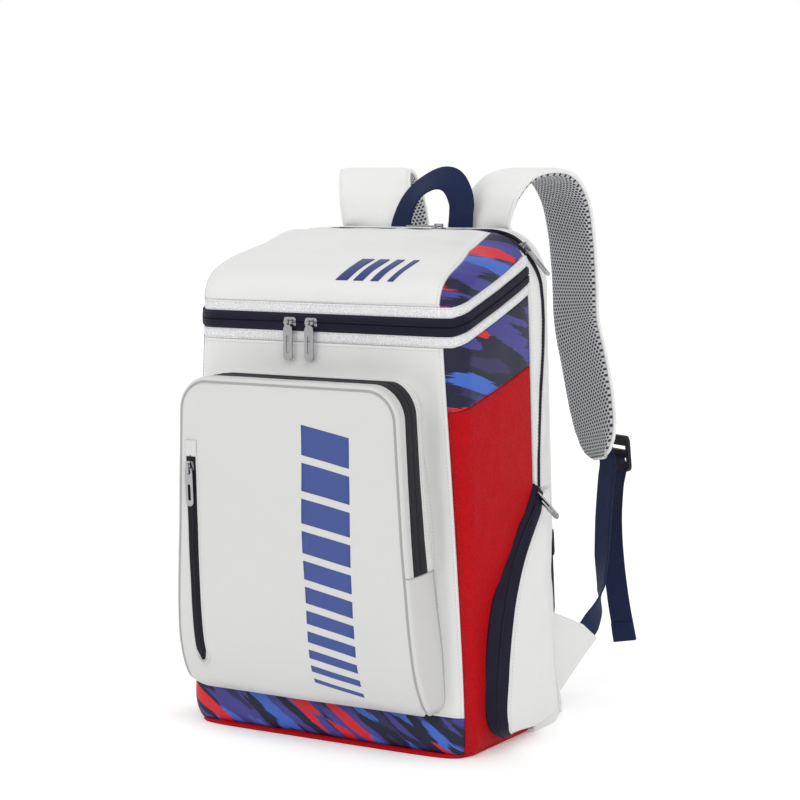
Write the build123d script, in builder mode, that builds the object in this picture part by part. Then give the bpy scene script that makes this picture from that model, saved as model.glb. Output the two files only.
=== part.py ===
"""Racket backpack: a tapered bag with a hooded lid, a rear racket compartment, a zipped front pocket,
two side pockets, padded shoulder straps, a carrying loop and separate zip sliders and pulls.

Millimetres. The origin is the centre of the front compartment's footprint on the floor:
+X is the bag's left-hand side as worn seen from the front (the viewer's right), +Y is the back panel, +Z is up.
"""

import math
import os

from build123d import *

os.makedirs("parts", exist_ok=True)

# --- driving dimensions ---------------------------------------------------------------------------
BASE_HALF = 154  # half the bag's width at the floor
MOUTH_HALF = 141  # half its width at the mouth
MOUTH_Z = 387  # height of the mouth's zip along the front
FRONT_Y = -86  # front panel
DIVIDER_Y = 38  # wall between the main and the racket compartments
BACK_Y = 92  # back panel's inner face
TOP_Z = 468  # flat top of the racket compartment, and the lid's crest
SHOULDER = 55  # radius of the compartment's top corners
WALL = 4  # padded wall
CORNER = 18  # radius of the front upright corners
BASE_TOP = 10  # top of the base tray
PRINT_TOP = 42  # top of the printed band along the front
TRIM = 10  # reflective trim each side of the mouth's zip
ZIP_HALF = 8  # half the width of the mouth's zip
ZIP_GAP = 0.4  # half the gap between its two halves
CLEAR = 0.3  # between pieces that move past each other
RISE = 42  # how much higher the mouth's zip is at its rear ends
SLIT = 0.2  # seam gap between the pieces of one strip

SEAM_Y = FRONT_Y + CORNER * (1 - math.cos(math.radians(45)))  # front and side panels meet half way round a corner
MOUTH_SLOPE = RISE / (DIVIDER_Y - SEAM_Y)


def half_width(height):
    """Half the bag's width at a height: the sides lean in towards the top."""
    return BASE_HALF - (BASE_HALF - MOUTH_HALF) * height / MOUTH_Z


def mouth_height(y):
    """Height of the mouth's zip at a depth: level along the front, rising along the sides."""
    return MOUTH_Z + MOUTH_SLOPE * max(0, y - SEAM_Y)


def save(piece, name):
    """Labels a finished part and writes its STEP file."""
    piece.part.label = name
    export_step(piece.part, f"parts/{name}.step")


# --- shape helpers --------------------------------------------------------------------------------
def side_block(outline, x_low, x_high):
    """A solid with this outline in the side view, as (y, z) points."""
    with BuildPart() as block:
        with BuildSketch(Plane.YZ.offset(x_low)):
            with BuildLine():
                Polyline(*outline, close=True)
            make_face()
        extrude(amount=x_high - x_low)
    return block.part


def front_block(outline, y_low, y_high):
    """A solid with this outline in the front view, as (x, z) points."""
    with BuildPart() as block:
        with BuildSketch(Plane.XZ.offset(-y_high)):
            with BuildLine():
                Polyline(*outline, close=True)
            make_face()
        extrude(amount=y_high - y_low)
    return block.part


def slab(x, y, z):
    """A block given by its (low, high) along each axis."""
    return front_block([(x[0], z[0]), (x[1], z[0]), (x[1], z[1]), (x[0], z[1])], y[0], y[1])


def tapered_block(inset, y_low, y_high, z_low, z_high):
    """The bag's tapered body, its front upright corners rounded."""
    low, high = half_width(z_low) - inset, half_width(z_high) - inset
    with BuildPart() as block:
        with BuildSketch(Plane.XZ.offset(-y_high)):
            with BuildLine():
                Polyline((-low, z_low), (low, z_low), (high, z_high), (-high, z_high), close=True)
            make_face()
        extrude(amount=y_high - y_low)
        uprights = block.faces().sort_by(Axis.Y)[0].edges().filter_by(lambda edge: abs(edge.tangent_at(0.5).Z) > 0.9)
        fillet(uprights, CORNER - inset)
    return block.part


def arch_block(inset, y_low, y_high, z_low=0):
    """The racket compartment's arched outline, extruded front to back."""
    low, high = half_width(z_low) - inset, half_width(TOP_Z) - inset
    with BuildPart() as block:
        with BuildSketch(Plane.XZ.offset(-y_high)) as outline:
            with BuildLine():
                Polyline((-low, z_low), (low, z_low), (high, TOP_Z - inset), (-high, TOP_Z - inset), close=True)
            make_face()
            fillet(outline.vertices().group_by(Axis.Y)[-1], SHOULDER - inset)
        extrude(amount=y_high - y_low)
    return block.part


def ribbon(stations, thickness):
    """A flat strap through stations of (centre, direction across, width)."""
    centres = [Vector(*centre) for centre, _, _ in stations]
    with BuildPart() as strip:
        for index, (_, across, width) in enumerate(stations):
            along = centres[min(index + 1, len(centres) - 1)] - centres[max(index - 1, 0)]
            side = Vector(*across)
            side = (side - along * (side.dot(along) / along.dot(along))).normalized()
            with BuildSketch(Plane(origin=centres[index], x_dir=side, z_dir=along)):
                Rectangle(width, thickness)
        loft(ruled=True)
    return strip.part


def mirrored(source, name):
    """The same part on the bag's other side."""
    with BuildPart() as other:
        mirror(source.part, about=Plane.YZ)
    save(other, name)


# --- main compartment -----------------------------------------------------------------------------
SHELL_TOP = mouth_height(DIVIDER_Y) + ZIP_HALF + TRIM

with BuildPart() as shell:
    add(tapered_block(0, FRONT_Y, DIVIDER_Y, 0, SHELL_TOP))
    add(tapered_block(WALL, FRONT_Y + WALL, DIVIDER_Y + WALL, 0, SHELL_TOP + WALL), mode=Mode.SUBTRACT)

REACH = BASE_HALF + 10  # past the bag's widest point


def front_piece(z_low, z_high):
    """The front of the shell between two heights, round to half way into each corner."""
    with BuildPart() as piece:
        add(shell.part)
        add(slab((-REACH, REACH), (FRONT_Y - 1, SEAM_Y), (z_low, z_high)), mode=Mode.INTERSECT)
    return piece


def side_outline(front_low, front_high, rear_low, rear_high):
    """A side view outline from the corner seam to the divider."""
    return [(SEAM_Y, front_low), (DIVIDER_Y, rear_low), (DIVIDER_Y, rear_high), (SEAM_Y, front_high)]


def side_piece(outline):
    """The right side of the shell within a side view outline."""
    with BuildPart() as piece:
        add(shell.part)
        add(side_block(outline, 0, REACH), mode=Mode.INTERSECT)
    return piece


def mouth_strip(low, high, end_y=DIVIDER_Y):
    """A strip round the mouth between two offsets from the zip's centre line: front, right and left pieces."""
    start_y = SEAM_Y + SLIT
    outline = [(start_y, mouth_height(start_y) + low), (end_y, mouth_height(end_y) + low)]
    outline += [(end_y, mouth_height(end_y) + high), (start_y, mouth_height(start_y) + high)]
    right = side_piece(outline)
    with BuildPart() as strip:
        add(front_piece(MOUTH_Z + low, MOUTH_Z + high).part)
        add(right.part)
        mirror(right.part, about=Plane.YZ)
    return strip


FRONT_TOP = MOUTH_Z - ZIP_HALF - TRIM
REAR_TOP = mouth_height(DIVIDER_Y) - ZIP_HALF - TRIM
PRINT_FRONT_Z = 312  # lower edge of the printed side piece, at the front and at the divider
PRINT_REAR_Z = 346

with BuildPart() as base_panel:
    add(tapered_block(0, FRONT_Y, DIVIDER_Y, 0, BASE_TOP))
save(base_panel, "base_panel")

with BuildPart() as base_board:
    with BuildSketch(Plane.XY.offset(BASE_TOP)):
        with Locations((0, (FRONT_Y + DIVIDER_Y) / 2)):
            RectangleRounded(2 * (BASE_HALF - 12), DIVIDER_Y - FRONT_Y - 20, 10)
    extrude(amount=2.5)
save(base_board, "base_board")

print_band = front_piece(BASE_TOP, PRINT_TOP)
save(print_band, "print_band")
front_panel = front_piece(PRINT_TOP, FRONT_TOP)
save(front_panel, "front_panel")

side_panel = side_piece(side_outline(BASE_TOP, PRINT_FRONT_Z, BASE_TOP, PRINT_REAR_Z))
save(side_panel, "side_panel_right")
mirrored(side_panel, "side_panel_left")

side_print = side_piece(side_outline(PRINT_FRONT_Z, FRONT_TOP, PRINT_REAR_Z, REAR_TOP))
save(side_print, "side_print_right")
mirrored(side_print, "side_print_left")

mouth_trim = mouth_strip(-ZIP_HALF - TRIM, -ZIP_HALF)
save(mouth_trim, "mouth_trim")
main_zip_lower = mouth_strip(-ZIP_HALF, -ZIP_GAP)
save(main_zip_lower, "main_zip_lower")

# --- lid --------------------------------------------------------------------------------------------
HOOD = [(FRONT_Y, 300), (DIVIDER_Y, 300), (DIVIDER_Y, TOP_Z), (0, 460), (-40, 449), (-66, 437), (-81, 421)]
HOOD += [(FRONT_Y, 405)]
RIM = ZIP_HALF + TRIM
LID_REAR = DIVIDER_Y - CLEAR


def hood(inset):
    """The lid's domed outline, moved in by a wall's thickness."""
    inner = [(y + inset * (y == FRONT_Y), z - inset * 1.1) for y, z in HOOD[3:]]
    outline = [(FRONT_Y + inset, 300), (DIVIDER_Y + inset, 300), (DIVIDER_Y + inset, TOP_Z - inset)] + inner
    with BuildPart() as block:
        add(tapered_block(inset, FRONT_Y + inset, DIVIDER_Y + inset, 300, TOP_Z + 10))
        add(arch_block(inset, FRONT_Y, DIVIDER_Y + inset), mode=Mode.INTERSECT)
        add(side_block(outline, -REACH, REACH), mode=Mode.INTERSECT)
    return block.part


with BuildPart() as lid:
    add(hood(0))
    add(hood(WALL), mode=Mode.SUBTRACT)
    above_rim = [(FRONT_Y - 1, MOUTH_Z + RIM), (SEAM_Y, MOUTH_Z + RIM), (LID_REAR, mouth_height(LID_REAR) + RIM)]
    add(side_block(above_rim + [(LID_REAR, 500), (FRONT_Y - 1, 500)], -REACH, REACH), mode=Mode.INTERSECT)

SEAM_FRONT_X = 121  # the lid's white top meets its printed side here, at the front and at the crest
SEAM_REAR_X = 106


def beyond_lid_seam(sign):
    """Everything outboard of the lid's side seam."""
    with BuildPart() as block:
        with BuildSketch(Plane.XY.offset(300)):
            with BuildLine():
                Polyline(
                    (sign * SEAM_FRONT_X, FRONT_Y - 1),
                    (sign * REACH, FRONT_Y - 1),
                    (sign * REACH, DIVIDER_Y),
                    (sign * SEAM_REAR_X, DIVIDER_Y),
                    close=True,
                )
            make_face()
        extrude(amount=200)
    return block.part


with BuildPart() as lid_top:
    add(lid.part)
    add(beyond_lid_seam(1), mode=Mode.SUBTRACT)
    add(beyond_lid_seam(-1), mode=Mode.SUBTRACT)
save(lid_top, "lid_top")

with BuildPart() as lid_print:
    add(lid.part)
    add(beyond_lid_seam(1), mode=Mode.INTERSECT)
save(lid_print, "lid_print_right")
mirrored(lid_print, "lid_print_left")

lid_trim = mouth_strip(ZIP_HALF, RIM, LID_REAR)
save(lid_trim, "lid_trim")
main_zip_upper = mouth_strip(ZIP_GAP, ZIP_HALF, LID_REAR)
save(main_zip_upper, "main_zip_upper")

# --- racket compartment ------------------------------------------------------------------------------
GUSSET_ZIP_Y = (60, 76)  # the racket zip's two edges
GUSSET_ZIP_Z = 226  # its lower ends
MOUTH_X = (44, 124)  # the part of the zip that is open for the handles

with BuildPart() as tube:
    add(arch_block(0, DIVIDER_Y, BACK_Y))
    add(arch_block(WALL, DIVIDER_Y, BACK_Y, WALL), mode=Mode.SUBTRACT)


def opened_at_corners():
    """Thin gaps that part a hoop at its floor corners and where the shoulders start."""
    height = TOP_Z - SHOULDER
    with BuildPart() as gaps:
        add(slab((-REACH, REACH), (DIVIDER_Y - 1, BACK_Y + 1), (height, height + SLIT)))
        add(slab((-REACH, REACH), (DIVIDER_Y - 1, BACK_Y + 1), (WALL, WALL + SLIT)))
        add(slab((-REACH, REACH), (DIVIDER_Y - 1, GUSSET_ZIP_Y[1]), (GUSSET_ZIP_Z - SLIT, GUSSET_ZIP_Z)))
        add(slab((86, 86 + SLIT), (DIVIDER_Y - 1, BACK_Y + 1), (height, TOP_Z + 1)))
        add(slab((-86, -86 + SLIT), (DIVIDER_Y - 1, BACK_Y + 1), (height, TOP_Z + 1)))
    return gaps.part


with BuildPart() as handle_mouth:
    with BuildSketch(Plane.XY.offset(400)):
        with Locations((sum(MOUTH_X) / 2, sum(GUSSET_ZIP_Y) / 2)):
            Ellipse((MOUTH_X[1] - MOUTH_X[0]) / 2, 15)
    extrude(amount=TOP_Z)

with BuildPart() as gusset_front:
    add(tube.part)
    low_front = [(DIVIDER_Y, 0), (BACK_Y, 0), (BACK_Y, GUSSET_ZIP_Z), (GUSSET_ZIP_Y[0], GUSSET_ZIP_Z)]
    add(
        side_block(low_front + [(GUSSET_ZIP_Y[0], TOP_Z + 1), (DIVIDER_Y, TOP_Z + 1)], -REACH, REACH),
        mode=Mode.INTERSECT,
    )
    add(opened_at_corners(), mode=Mode.SUBTRACT)
    add(handle_mouth.part, mode=Mode.SUBTRACT)
save(gusset_front, "racket_gusset_front")

with BuildPart() as gusset_rear:
    add(tube.part)
    add(
        slab((-REACH, REACH), (GUSSET_ZIP_Y[1], BACK_Y), (GUSSET_ZIP_Z + SLIT, TOP_Z + 1)),
        mode=Mode.INTERSECT,
    )
    add(opened_at_corners(), mode=Mode.SUBTRACT)
    add(handle_mouth.part, mode=Mode.SUBTRACT)
save(gusset_rear, "racket_gusset_rear")

with BuildPart() as racket_zip:
    add(tube.part)
    add(slab((-REACH, REACH), GUSSET_ZIP_Y, (GUSSET_ZIP_Z + SLIT, TOP_Z + 1)), mode=Mode.INTERSECT)
    add(opened_at_corners(), mode=Mode.SUBTRACT)
    add(slab(MOUTH_X, GUSSET_ZIP_Y, (400, TOP_Z + 1)), mode=Mode.SUBTRACT)
save(racket_zip, "racket_zip")

with BuildPart() as divider_panel:
    add(arch_block(WALL + 0.2, DIVIDER_Y, DIVIDER_Y + 3, WALL + 0.2))
save(divider_panel, "divider_panel")

# --- back panel --------------------------------------------------------------------------------------
with BuildPart() as back_panel:
    add(arch_block(0, BACK_Y, BACK_Y + WALL))
save(back_panel, "back_panel")

with BuildPart() as back_board:
    add(arch_block(14, BACK_Y - 2, BACK_Y, 14))
save(back_board, "back_board")

PAD_Y = BACK_Y + WALL
with BuildPart() as back_pads:
    with BuildSketch(Plane.XZ.offset(-PAD_Y)):
        with Locations((-70, 275), (70, 275)):
            RectangleRounded(104, 230, 30)
        with Locations((0, 90)):
            RectangleRounded(236, 104, 34)
    extrude(amount=-11)
    fillet(back_pads.faces().sort_by(Axis.Y)[-1].edges(), 6)
save(back_pads, "back_pads")

# --- front pocket ------------------------------------------------------------------------------------
POCKET_TOP = 341
POCKET_FOLD = 171  # height of the zip's lower ends, where the flap folds
POCKET_WALL = 3
POCKET_ZIP_Y = (-124, -104)
POCKET_FACE = [(FRONT_Y, PRINT_TOP), (-112, 58), (-127, 100), (-138, POCKET_FOLD), (-148, POCKET_TOP)]


def pocket_block(inset):
    """The front pocket's padded outline: rounded in front view, leaning forward towards its top."""
    with BuildPart() as block:
        with BuildSketch(Plane.XZ.offset(-FRONT_Y)) as outline:
            with BuildLine():
                Polyline((-127, PRINT_TOP), (127, PRINT_TOP), (116, POCKET_TOP), (-116, POCKET_TOP), close=True)
            make_face()
            fillet(outline.vertices().group_by(Axis.Y)[-1], 30)
            fillet(outline.vertices().group_by(Axis.Y)[0], 14)
            if inset:
                offset(amount=-inset)
        extrude(amount=80)
        side = [(y + inset * (y < FRONT_Y), z) for y, z in POCKET_FACE]
        side_view = side_block(side + [(FRONT_Y, POCKET_TOP)], -REACH, REACH)
        add(side_view, mode=Mode.INTERSECT)
    return block.part


with BuildPart() as pocket:
    add(pocket_block(0))
    add(pocket_block(POCKET_WALL), mode=Mode.SUBTRACT)

with BuildPart() as pocket_base:
    add(pocket.part)
    add(
        slab((-REACH, REACH), (-160, POCKET_ZIP_Y[1]), (POCKET_FOLD, POCKET_TOP + 1)),
        mode=Mode.SUBTRACT,
    )
    add(slab((-REACH, REACH), (POCKET_ZIP_Y[1] - SLIT, FRONT_Y), (POCKET_FOLD, POCKET_FOLD + SLIT)), mode=Mode.SUBTRACT)
save(pocket_base, "front_pocket_base")

with BuildPart() as pocket_zip:
    add(pocket.part)
    add(
        slab((-REACH, REACH), (POCKET_ZIP_Y[0] + CLEAR, POCKET_ZIP_Y[1] - SLIT), (POCKET_FOLD + SLIT, POCKET_TOP + 1)),
        mode=Mode.INTERSECT,
    )
save(pocket_zip, "front_pocket_zip")

with BuildPart() as pocket_flap:
    add(pocket.part)
    add(slab((-REACH, REACH), (-160, POCKET_ZIP_Y[0]), (POCKET_FOLD + CLEAR, POCKET_TOP + 1)), mode=Mode.INTERSECT)
save(pocket_flap, "front_pocket_flap")

SMALL_ZIP_X = -105  # upright zip on the pocket's face
SMALL_ZIP = (78, 264)
SMALL_ZIP_HALF = 6
with BuildPart() as small_zip:
    add(pocket_block(-1.5))
    add(pocket_block(0), mode=Mode.SUBTRACT)
    strip = [(SMALL_ZIP_X - SMALL_ZIP_HALF, SMALL_ZIP[1]), (SMALL_ZIP_X + SMALL_ZIP_HALF, SMALL_ZIP[1])]
    strip += [(SMALL_ZIP_X + 7, 150), (SMALL_ZIP_X + 23, SMALL_ZIP[0]), (SMALL_ZIP_X + 11, SMALL_ZIP[0])]
    strip += [(SMALL_ZIP_X - 5, 150)]
    add(front_block(strip, -170, -100), mode=Mode.INTERSECT)

with BuildPart() as small_zip_upper:
    add(small_zip.part)
    add(slab((-REACH, 0), (-170, -100), (POCKET_FOLD + CLEAR, POCKET_TOP)), mode=Mode.INTERSECT)
save(small_zip_upper, "small_zip_upper")

with BuildPart() as small_zip_lower:
    add(small_zip.part)
    add(slab((-REACH, 0), (-170, -100), (0, POCKET_FOLD - 2.5)), mode=Mode.INTERSECT)
save(small_zip_lower, "small_zip_lower")

# --- side pockets ------------------------------------------------------------------------------------
SIDE_POCKET_TOP = 236
SIDE_POCKET_REAR = BACK_Y - 1
SIDE_CURVE = [(52, 232), (20, 203), (-4, 170), (-18, 122), (-27, 66), (-27, 36), (-16, 8)]
SIDE_BULGE = [(SIDE_POCKET_TOP, 10), (120, 19), (28, 20), (5, 8)]  # heights, and how far the face stands out
SIDE_CLEAR = 0.4  # between the pocket and the bag's side, which leans


def side_pocket_block(inset):
    """The right side pocket's puffed-out form, from the bag's side outwards."""
    wall = [(half_width(z) + SIDE_CLEAR, z) for z in (5, SIDE_POCKET_TOP)]
    face = [(half_width(z) + bulge, z) for z, bulge in SIDE_BULGE]
    curve = [(y + inset, z - inset * 0.3) for y, z in SIDE_CURVE]
    curve[-1] = (curve[-1][0], 5 + inset)
    rear = [(SIDE_POCKET_REAR - inset, 5 + inset), (SIDE_POCKET_REAR - inset, SIDE_POCKET_TOP - inset)]
    with BuildPart() as block:
        add(front_block([(wall[0][0], 5), *[(x - inset, z) for x, z in face[::-1]], wall[1]], -40, BACK_Y))
        add(side_block(curve + rear, 100, 200), mode=Mode.INTERSECT)
    return block.part


with BuildPart() as side_pocket:
    add(side_pocket_block(0))
    add(side_pocket_block(3), mode=Mode.SUBTRACT)

ZIP_STRIP = 3.2  # thickness of the pocket's front wall, which is its zip
rear_of_curve = [(y + ZIP_STRIP, z - ZIP_STRIP * 0.3) for y, z in SIDE_CURVE]
rear_of_curve[-1] = (SIDE_CURVE[-1][0] + ZIP_STRIP, 5)
with BuildPart() as side_pocket_zip:
    add(side_pocket.part)
    front_curve = [(y - 1, z) for y, z in SIDE_CURVE] + [(SIDE_CURVE[-1][0] - 1, 5)]
    add(side_block(front_curve + rear_of_curve[::-1], 100, 200), mode=Mode.INTERSECT)
save(side_pocket_zip, "side_pocket_zip_right")
mirrored(side_pocket_zip, "side_pocket_zip_left")

with BuildPart() as side_pocket_panel:
    add(side_pocket.part)
    behind = [(y + 0.3, z - 0.1) for y, z in rear_of_curve]
    behind += [(BACK_Y, 5), (BACK_Y, SIDE_POCKET_TOP), (rear_of_curve[0][0] + 0.3, SIDE_POCKET_TOP)]
    add(side_block(behind, 100, 200), mode=Mode.INTERSECT)
save(side_pocket_panel, "side_pocket_panel_right")
mirrored(side_pocket_panel, "side_pocket_panel_left")

# --- shoulder straps -----------------------------------------------------------------------------------
STRAP_WIDTH = 70
STRAP_THICK = 11
TURN = 26  # degrees that the straps are turned, so that they spread apart as they go back


def turned(degrees):
    """The direction across a strap that is turned about the vertical."""
    return (math.cos(math.radians(degrees)), -math.sin(math.radians(degrees)), 0)


STRAP_ROOT = [
    ((58, 106, 424), turned(0), STRAP_WIDTH),
    ((58, 106, 469.2), turned(0), STRAP_WIDTH),
]
STRAP = [
    ((58, 106, 471), turned(0), STRAP_WIDTH),
    ((58, 106, 474), turned(3), STRAP_WIDTH),
    ((60, 109, 482), turned(14), STRAP_WIDTH),
    ((66, 118, 502), turned(23), STRAP_WIDTH),
    ((73, 132, 517), turned(TURN), STRAP_WIDTH),
    ((82, 152, 523), turned(TURN), STRAP_WIDTH),
    ((90, 178, 515), turned(TURN), STRAP_WIDTH),
    ((95, 200, 490), turned(TURN), STRAP_WIDTH),
    ((99, 213, 458), turned(TURN), STRAP_WIDTH),
    ((103, 221, 418), turned(TURN), STRAP_WIDTH),
    ((108, 221, 374), turned(TURN), STRAP_WIDTH),
    ((118, 215, 334), turned(TURN), STRAP_WIDTH),
    ((131, 206, 294), turned(TURN), 68),
    ((138, 201, 272), turned(TURN), 62),
    ((141, 199, 256), turned(TURN), 48),
    ((143, 198, 245), turned(TURN), 28),
]
with BuildPart() as strap_roots:
    add(ribbon(STRAP_ROOT, STRAP_THICK))
    mirror(about=Plane.YZ)
save(strap_roots, "strap_roots")

with BuildPart() as strap_pad:
    add(ribbon(STRAP, STRAP_THICK))
save(strap_pad, "strap_pad_right")
mirrored(strap_pad, "strap_pad_left")

with BuildPart() as strap_yoke:
    with BuildSketch(Plane.XZ.offset(-BACK_Y - WALL)):
        with Locations((0, 424)):
            RectangleRounded(206, 48, 12)
    extrude(amount=-3.6)
save(strap_yoke, "strap_yoke")

WEBBING = 25
WEBBING_THICK = 1.6
LOCK = Plane(origin=(157, 210, 246), x_dir=turned(TURN), z_dir=(0.43, 0.88, 0.1))
webbing_run = [
    ((154, 204, 222), turned(TURN), WEBBING),
    ((155, 196, 185), turned(TURN), WEBBING),
    ((157, 186, 148), turned(TURN + 6), WEBBING),
    ((159, 176, 116), turned(TURN + 24), WEBBING),
    ((159, 166, 98), (0.1, -0.9, 0.4), WEBBING),
    ((157.5, 157, 88), (-0.254, -0.727, 0.64), WEBBING),
]
with BuildPart() as strap_webbing:
    add(ribbon(webbing_run, WEBBING_THICK))
save(strap_webbing, "strap_webbing_right")
mirrored(strap_webbing, "strap_webbing_left")

with BuildPart() as ladder_lock:
    with BuildSketch(LOCK) as frame_outline:
        RectangleRounded(33, 36, 6)
        with Locations((0, 6), (0, -6)):
            Rectangle(26, 4.5, mode=Mode.SUBTRACT)
    extrude(amount=4)
    with BuildSketch(LOCK.offset(4)):
        with Locations((0, -14.5)):
            RectangleRounded(24, 5, 2)
    extrude(amount=2.5)
save(ladder_lock, "ladder_lock_right")
mirrored(ladder_lock, "ladder_lock_left")

tail_run = [
    ((164, 219, 224), turned(TURN), WEBBING),
    ((164, 224, 190), turned(TURN - 2), WEBBING),
    ((163, 226, 140), turned(TURN - 4), WEBBING),
    ((162, 226, 90), turned(TURN - 8), WEBBING),
    ((161, 225, 55), turned(TURN - 10), WEBBING),
]
with BuildPart() as strap_tail:
    add(ribbon(tail_run, WEBBING_THICK))
save(strap_tail, "strap_tail_right")
mirrored(strap_tail, "strap_tail_left")

# wings that anchor the lower webbing to the bag's rear edges
WING = Plane(origin=(140, BACK_Y + WALL + 1.6, 0), x_dir=(0.33, 0.944, 0), z_dir=(0.944, -0.33, 0))
with BuildPart() as wing:
    with BuildSketch(WING):
        with BuildLine():
            Polyline((0, 16), (62, 71), (44, 86), (0, 106), close=True)
        make_face()
    extrude(amount=-3)
with BuildPart() as strap_wings:
    add(wing.part)
    mirror(wing.part, about=Plane.YZ)
save(strap_wings, "strap_wings")

# --- carrying loop --------------------------------------------------------------------------------------
LOOP_Y = BACK_Y + WALL + 1.4
loop_run = [
    ((-25.2, LOOP_Y, 469.4), (1, 0, 0), 22),
    ((-24, LOOP_Y + 0.6, 478), (1, -0.1, -0.1), 22),
    ((-20, LOOP_Y + 2, 490), (0.9, -0.3, -0.2), 24),
    ((-7, LOOP_Y + 4, 508), (0.5, -0.65, -0.5), 27),
    ((12, LOOP_Y + 5, 517), (0.1, -0.65, -0.75), 27),
    ((28, LOOP_Y + 4, 513), (-0.3, -0.6, -0.7), 27),
    ((40, LOOP_Y + 2, 500), (-0.8, -0.4, -0.35), 28),
    ((41, LOOP_Y, 484), (-1, 0, 0), 29),
    ((40.3, LOOP_Y, 476), (-1, 0, 0), 30),
    ((40, LOOP_Y, 469.4), (-1, 0, 0), 30),
]
with BuildPart() as handle_loop:
    add(ribbon(loop_run, 2))
save(handle_loop, "handle_loop")

# --- zip sliders and pulls --------------------------------------------------------------------------------
# A slider's plane has x along its travel, y across the zip and z out of the bag.
PLATE_LOW = 0.3  # the slider runs this far above the tape
PLATE_HIGH = 2.3
BRIDGE_TOP = 6.1
BAR_CENTRE = 5.5  # a ring pull turns about the bridge's bar
PIN_CENTRE = 3.6  # a yoke pull turns about its own cross pin, in the tunnel under the bar


def slider_body(place, scale=1.0):
    """A slider's top plate with the bridge that holds its pull."""
    with BuildPart(place) as body:
        with Locations((0, 0, PLATE_LOW)):
            Box(13 * scale, 9, PLATE_HIGH - PLATE_LOW, align=(Align.CENTER, Align.CENTER, Align.MIN))
        fillet(body.edges().filter_by(lambda edge: abs(edge.length - (PLATE_HIGH - PLATE_LOW)) < 1e-3), 2.5)
        with Locations((0, 0, PLATE_HIGH)):
            Box(9, 2.4, BRIDGE_TOP - PLATE_HIGH, align=(Align.CENTER, Align.CENTER, Align.MIN))
            Box(5.4, 4, 2.6, align=(Align.CENTER, Align.CENTER, Align.MIN), mode=Mode.SUBTRACT)
    return body


def ring_pull(hinge, length=33):
    """A pull hanging along -y from a ring round the bridge's bar; the hinge plane's x is the bar."""
    with BuildPart(hinge) as pull:
        with BuildSketch(hinge):
            with Locations((0, -2.2 - length / 2)):
                SlotOverall(length, 9.5, rotation=90)
            with Locations((0, -2.2 - length * 0.55)):
                SlotOverall(length * 0.5, 3.2, rotation=90, mode=Mode.SUBTRACT)
        extrude(amount=0.8, both=True)
        Torus(2.05, 0.55, rotation=(0, 90, 0))
    return pull


def yoke_pull(hinge, length=36):
    """A pull lying along -x from a cross pin in the tunnel; the hinge plane's y is the pin."""
    with BuildPart(hinge) as pull:
        with BuildSketch(hinge):
            with Locations((0.8 - length / 2, 0)):
                SlotOverall(length, 8.4)
            with Locations((-2.7, 0)):
                Rectangle(5.8 - 0.2, 3.4, mode=Mode.SUBTRACT)
            with Locations((-length * 0.62, 0)):
                SlotOverall(length * 0.42, 3, mode=Mode.SUBTRACT)
            with Locations((1.6, 0)):
                Rectangle(1.6, 12, mode=Mode.SUBTRACT)
        extrude(amount=0.8, both=True)
        Cylinder(0.8, 6, rotation=(90, 0, 0))
    return pull


def hinge_plane(place, height, tilt_x=0, tilt_y=0):
    """The plane of a pull's hinge, above a slider, with the pull's tilt at rest."""
    lifted = Plane(origin=place.from_local_coords(Vector(0, 0, height)), x_dir=place.x_dir, z_dir=place.z_dir)
    return lifted.rotated((tilt_x, tilt_y, 0))


FACE_UP = Vector(0, POCKET_FACE[4][0] - POCKET_FACE[3][0], POCKET_TOP - POCKET_FOLD).normalized()
SMALL_SLIDER_Z = 254
small_face_y = POCKET_FACE[3][0] + (SMALL_SLIDER_Z - POCKET_FOLD) * FACE_UP.Y / FACE_UP.Z - 1.5
side_start, side_next = Vector(0, *SIDE_CURVE[0]), Vector(0, *SIDE_CURVE[1])
side_along = (side_start - side_next).normalized()
side_point = side_start - side_along * 9
lean = math.atan2(BASE_HALF - MOUTH_HALF, MOUTH_Z)
shoulder_centre = Vector(half_width(TOP_Z - SHOULDER) - SHOULDER / math.cos(lean), 0, TOP_Z - SHOULDER)
shoulder_angle = math.radians(43)
shoulder_out = Vector(math.cos(shoulder_angle), 0, math.sin(shoulder_angle))
shoulder_point = shoulder_centre + shoulder_out * (SHOULDER + 0.5) + Vector(0, sum(GUSSET_ZIP_Y) / 2, 0)

places = {
    "main_slider_a": Plane(origin=(-33, FRONT_Y, MOUTH_Z), x_dir=(1, 0, 0), z_dir=(0, -1, 0)),
    "main_slider_b": Plane(origin=(-10, FRONT_Y, MOUTH_Z), x_dir=(1, 0, 0), z_dir=(0, -1, 0)),
    "small_slider": Plane(
        origin=(SMALL_ZIP_X, small_face_y, SMALL_SLIDER_Z),
        x_dir=FACE_UP,
        z_dir=(0, -FACE_UP.Z, FACE_UP.Y),
    ),
    "pocket_slider": Plane(
        origin=(-127 + (190 - PRINT_TOP) * 11 / (POCKET_TOP - PRINT_TOP), sum(POCKET_ZIP_Y) / 2, 190),
        x_dir=(11, 0, POCKET_TOP - PRINT_TOP),
        z_dir=(-(POCKET_TOP - PRINT_TOP), 0, 11),
    ),
    "side_slider_right": Plane(
        origin=side_point + Vector(half_width(side_point.Z) + 5.5, 0, 0),
        x_dir=side_along,
        z_dir=(0, -side_along.Z, side_along.Y),
    ),
    "racket_slider_right": Plane(origin=shoulder_point, x_dir=(-shoulder_out.Z, 0, shoulder_out.X), z_dir=shoulder_out),
    "racket_slider_top": Plane(origin=(34, sum(GUSSET_ZIP_Y) / 2, TOP_Z), x_dir=(1, 0, 0), z_dir=(0, 0, 1)),
}

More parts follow.
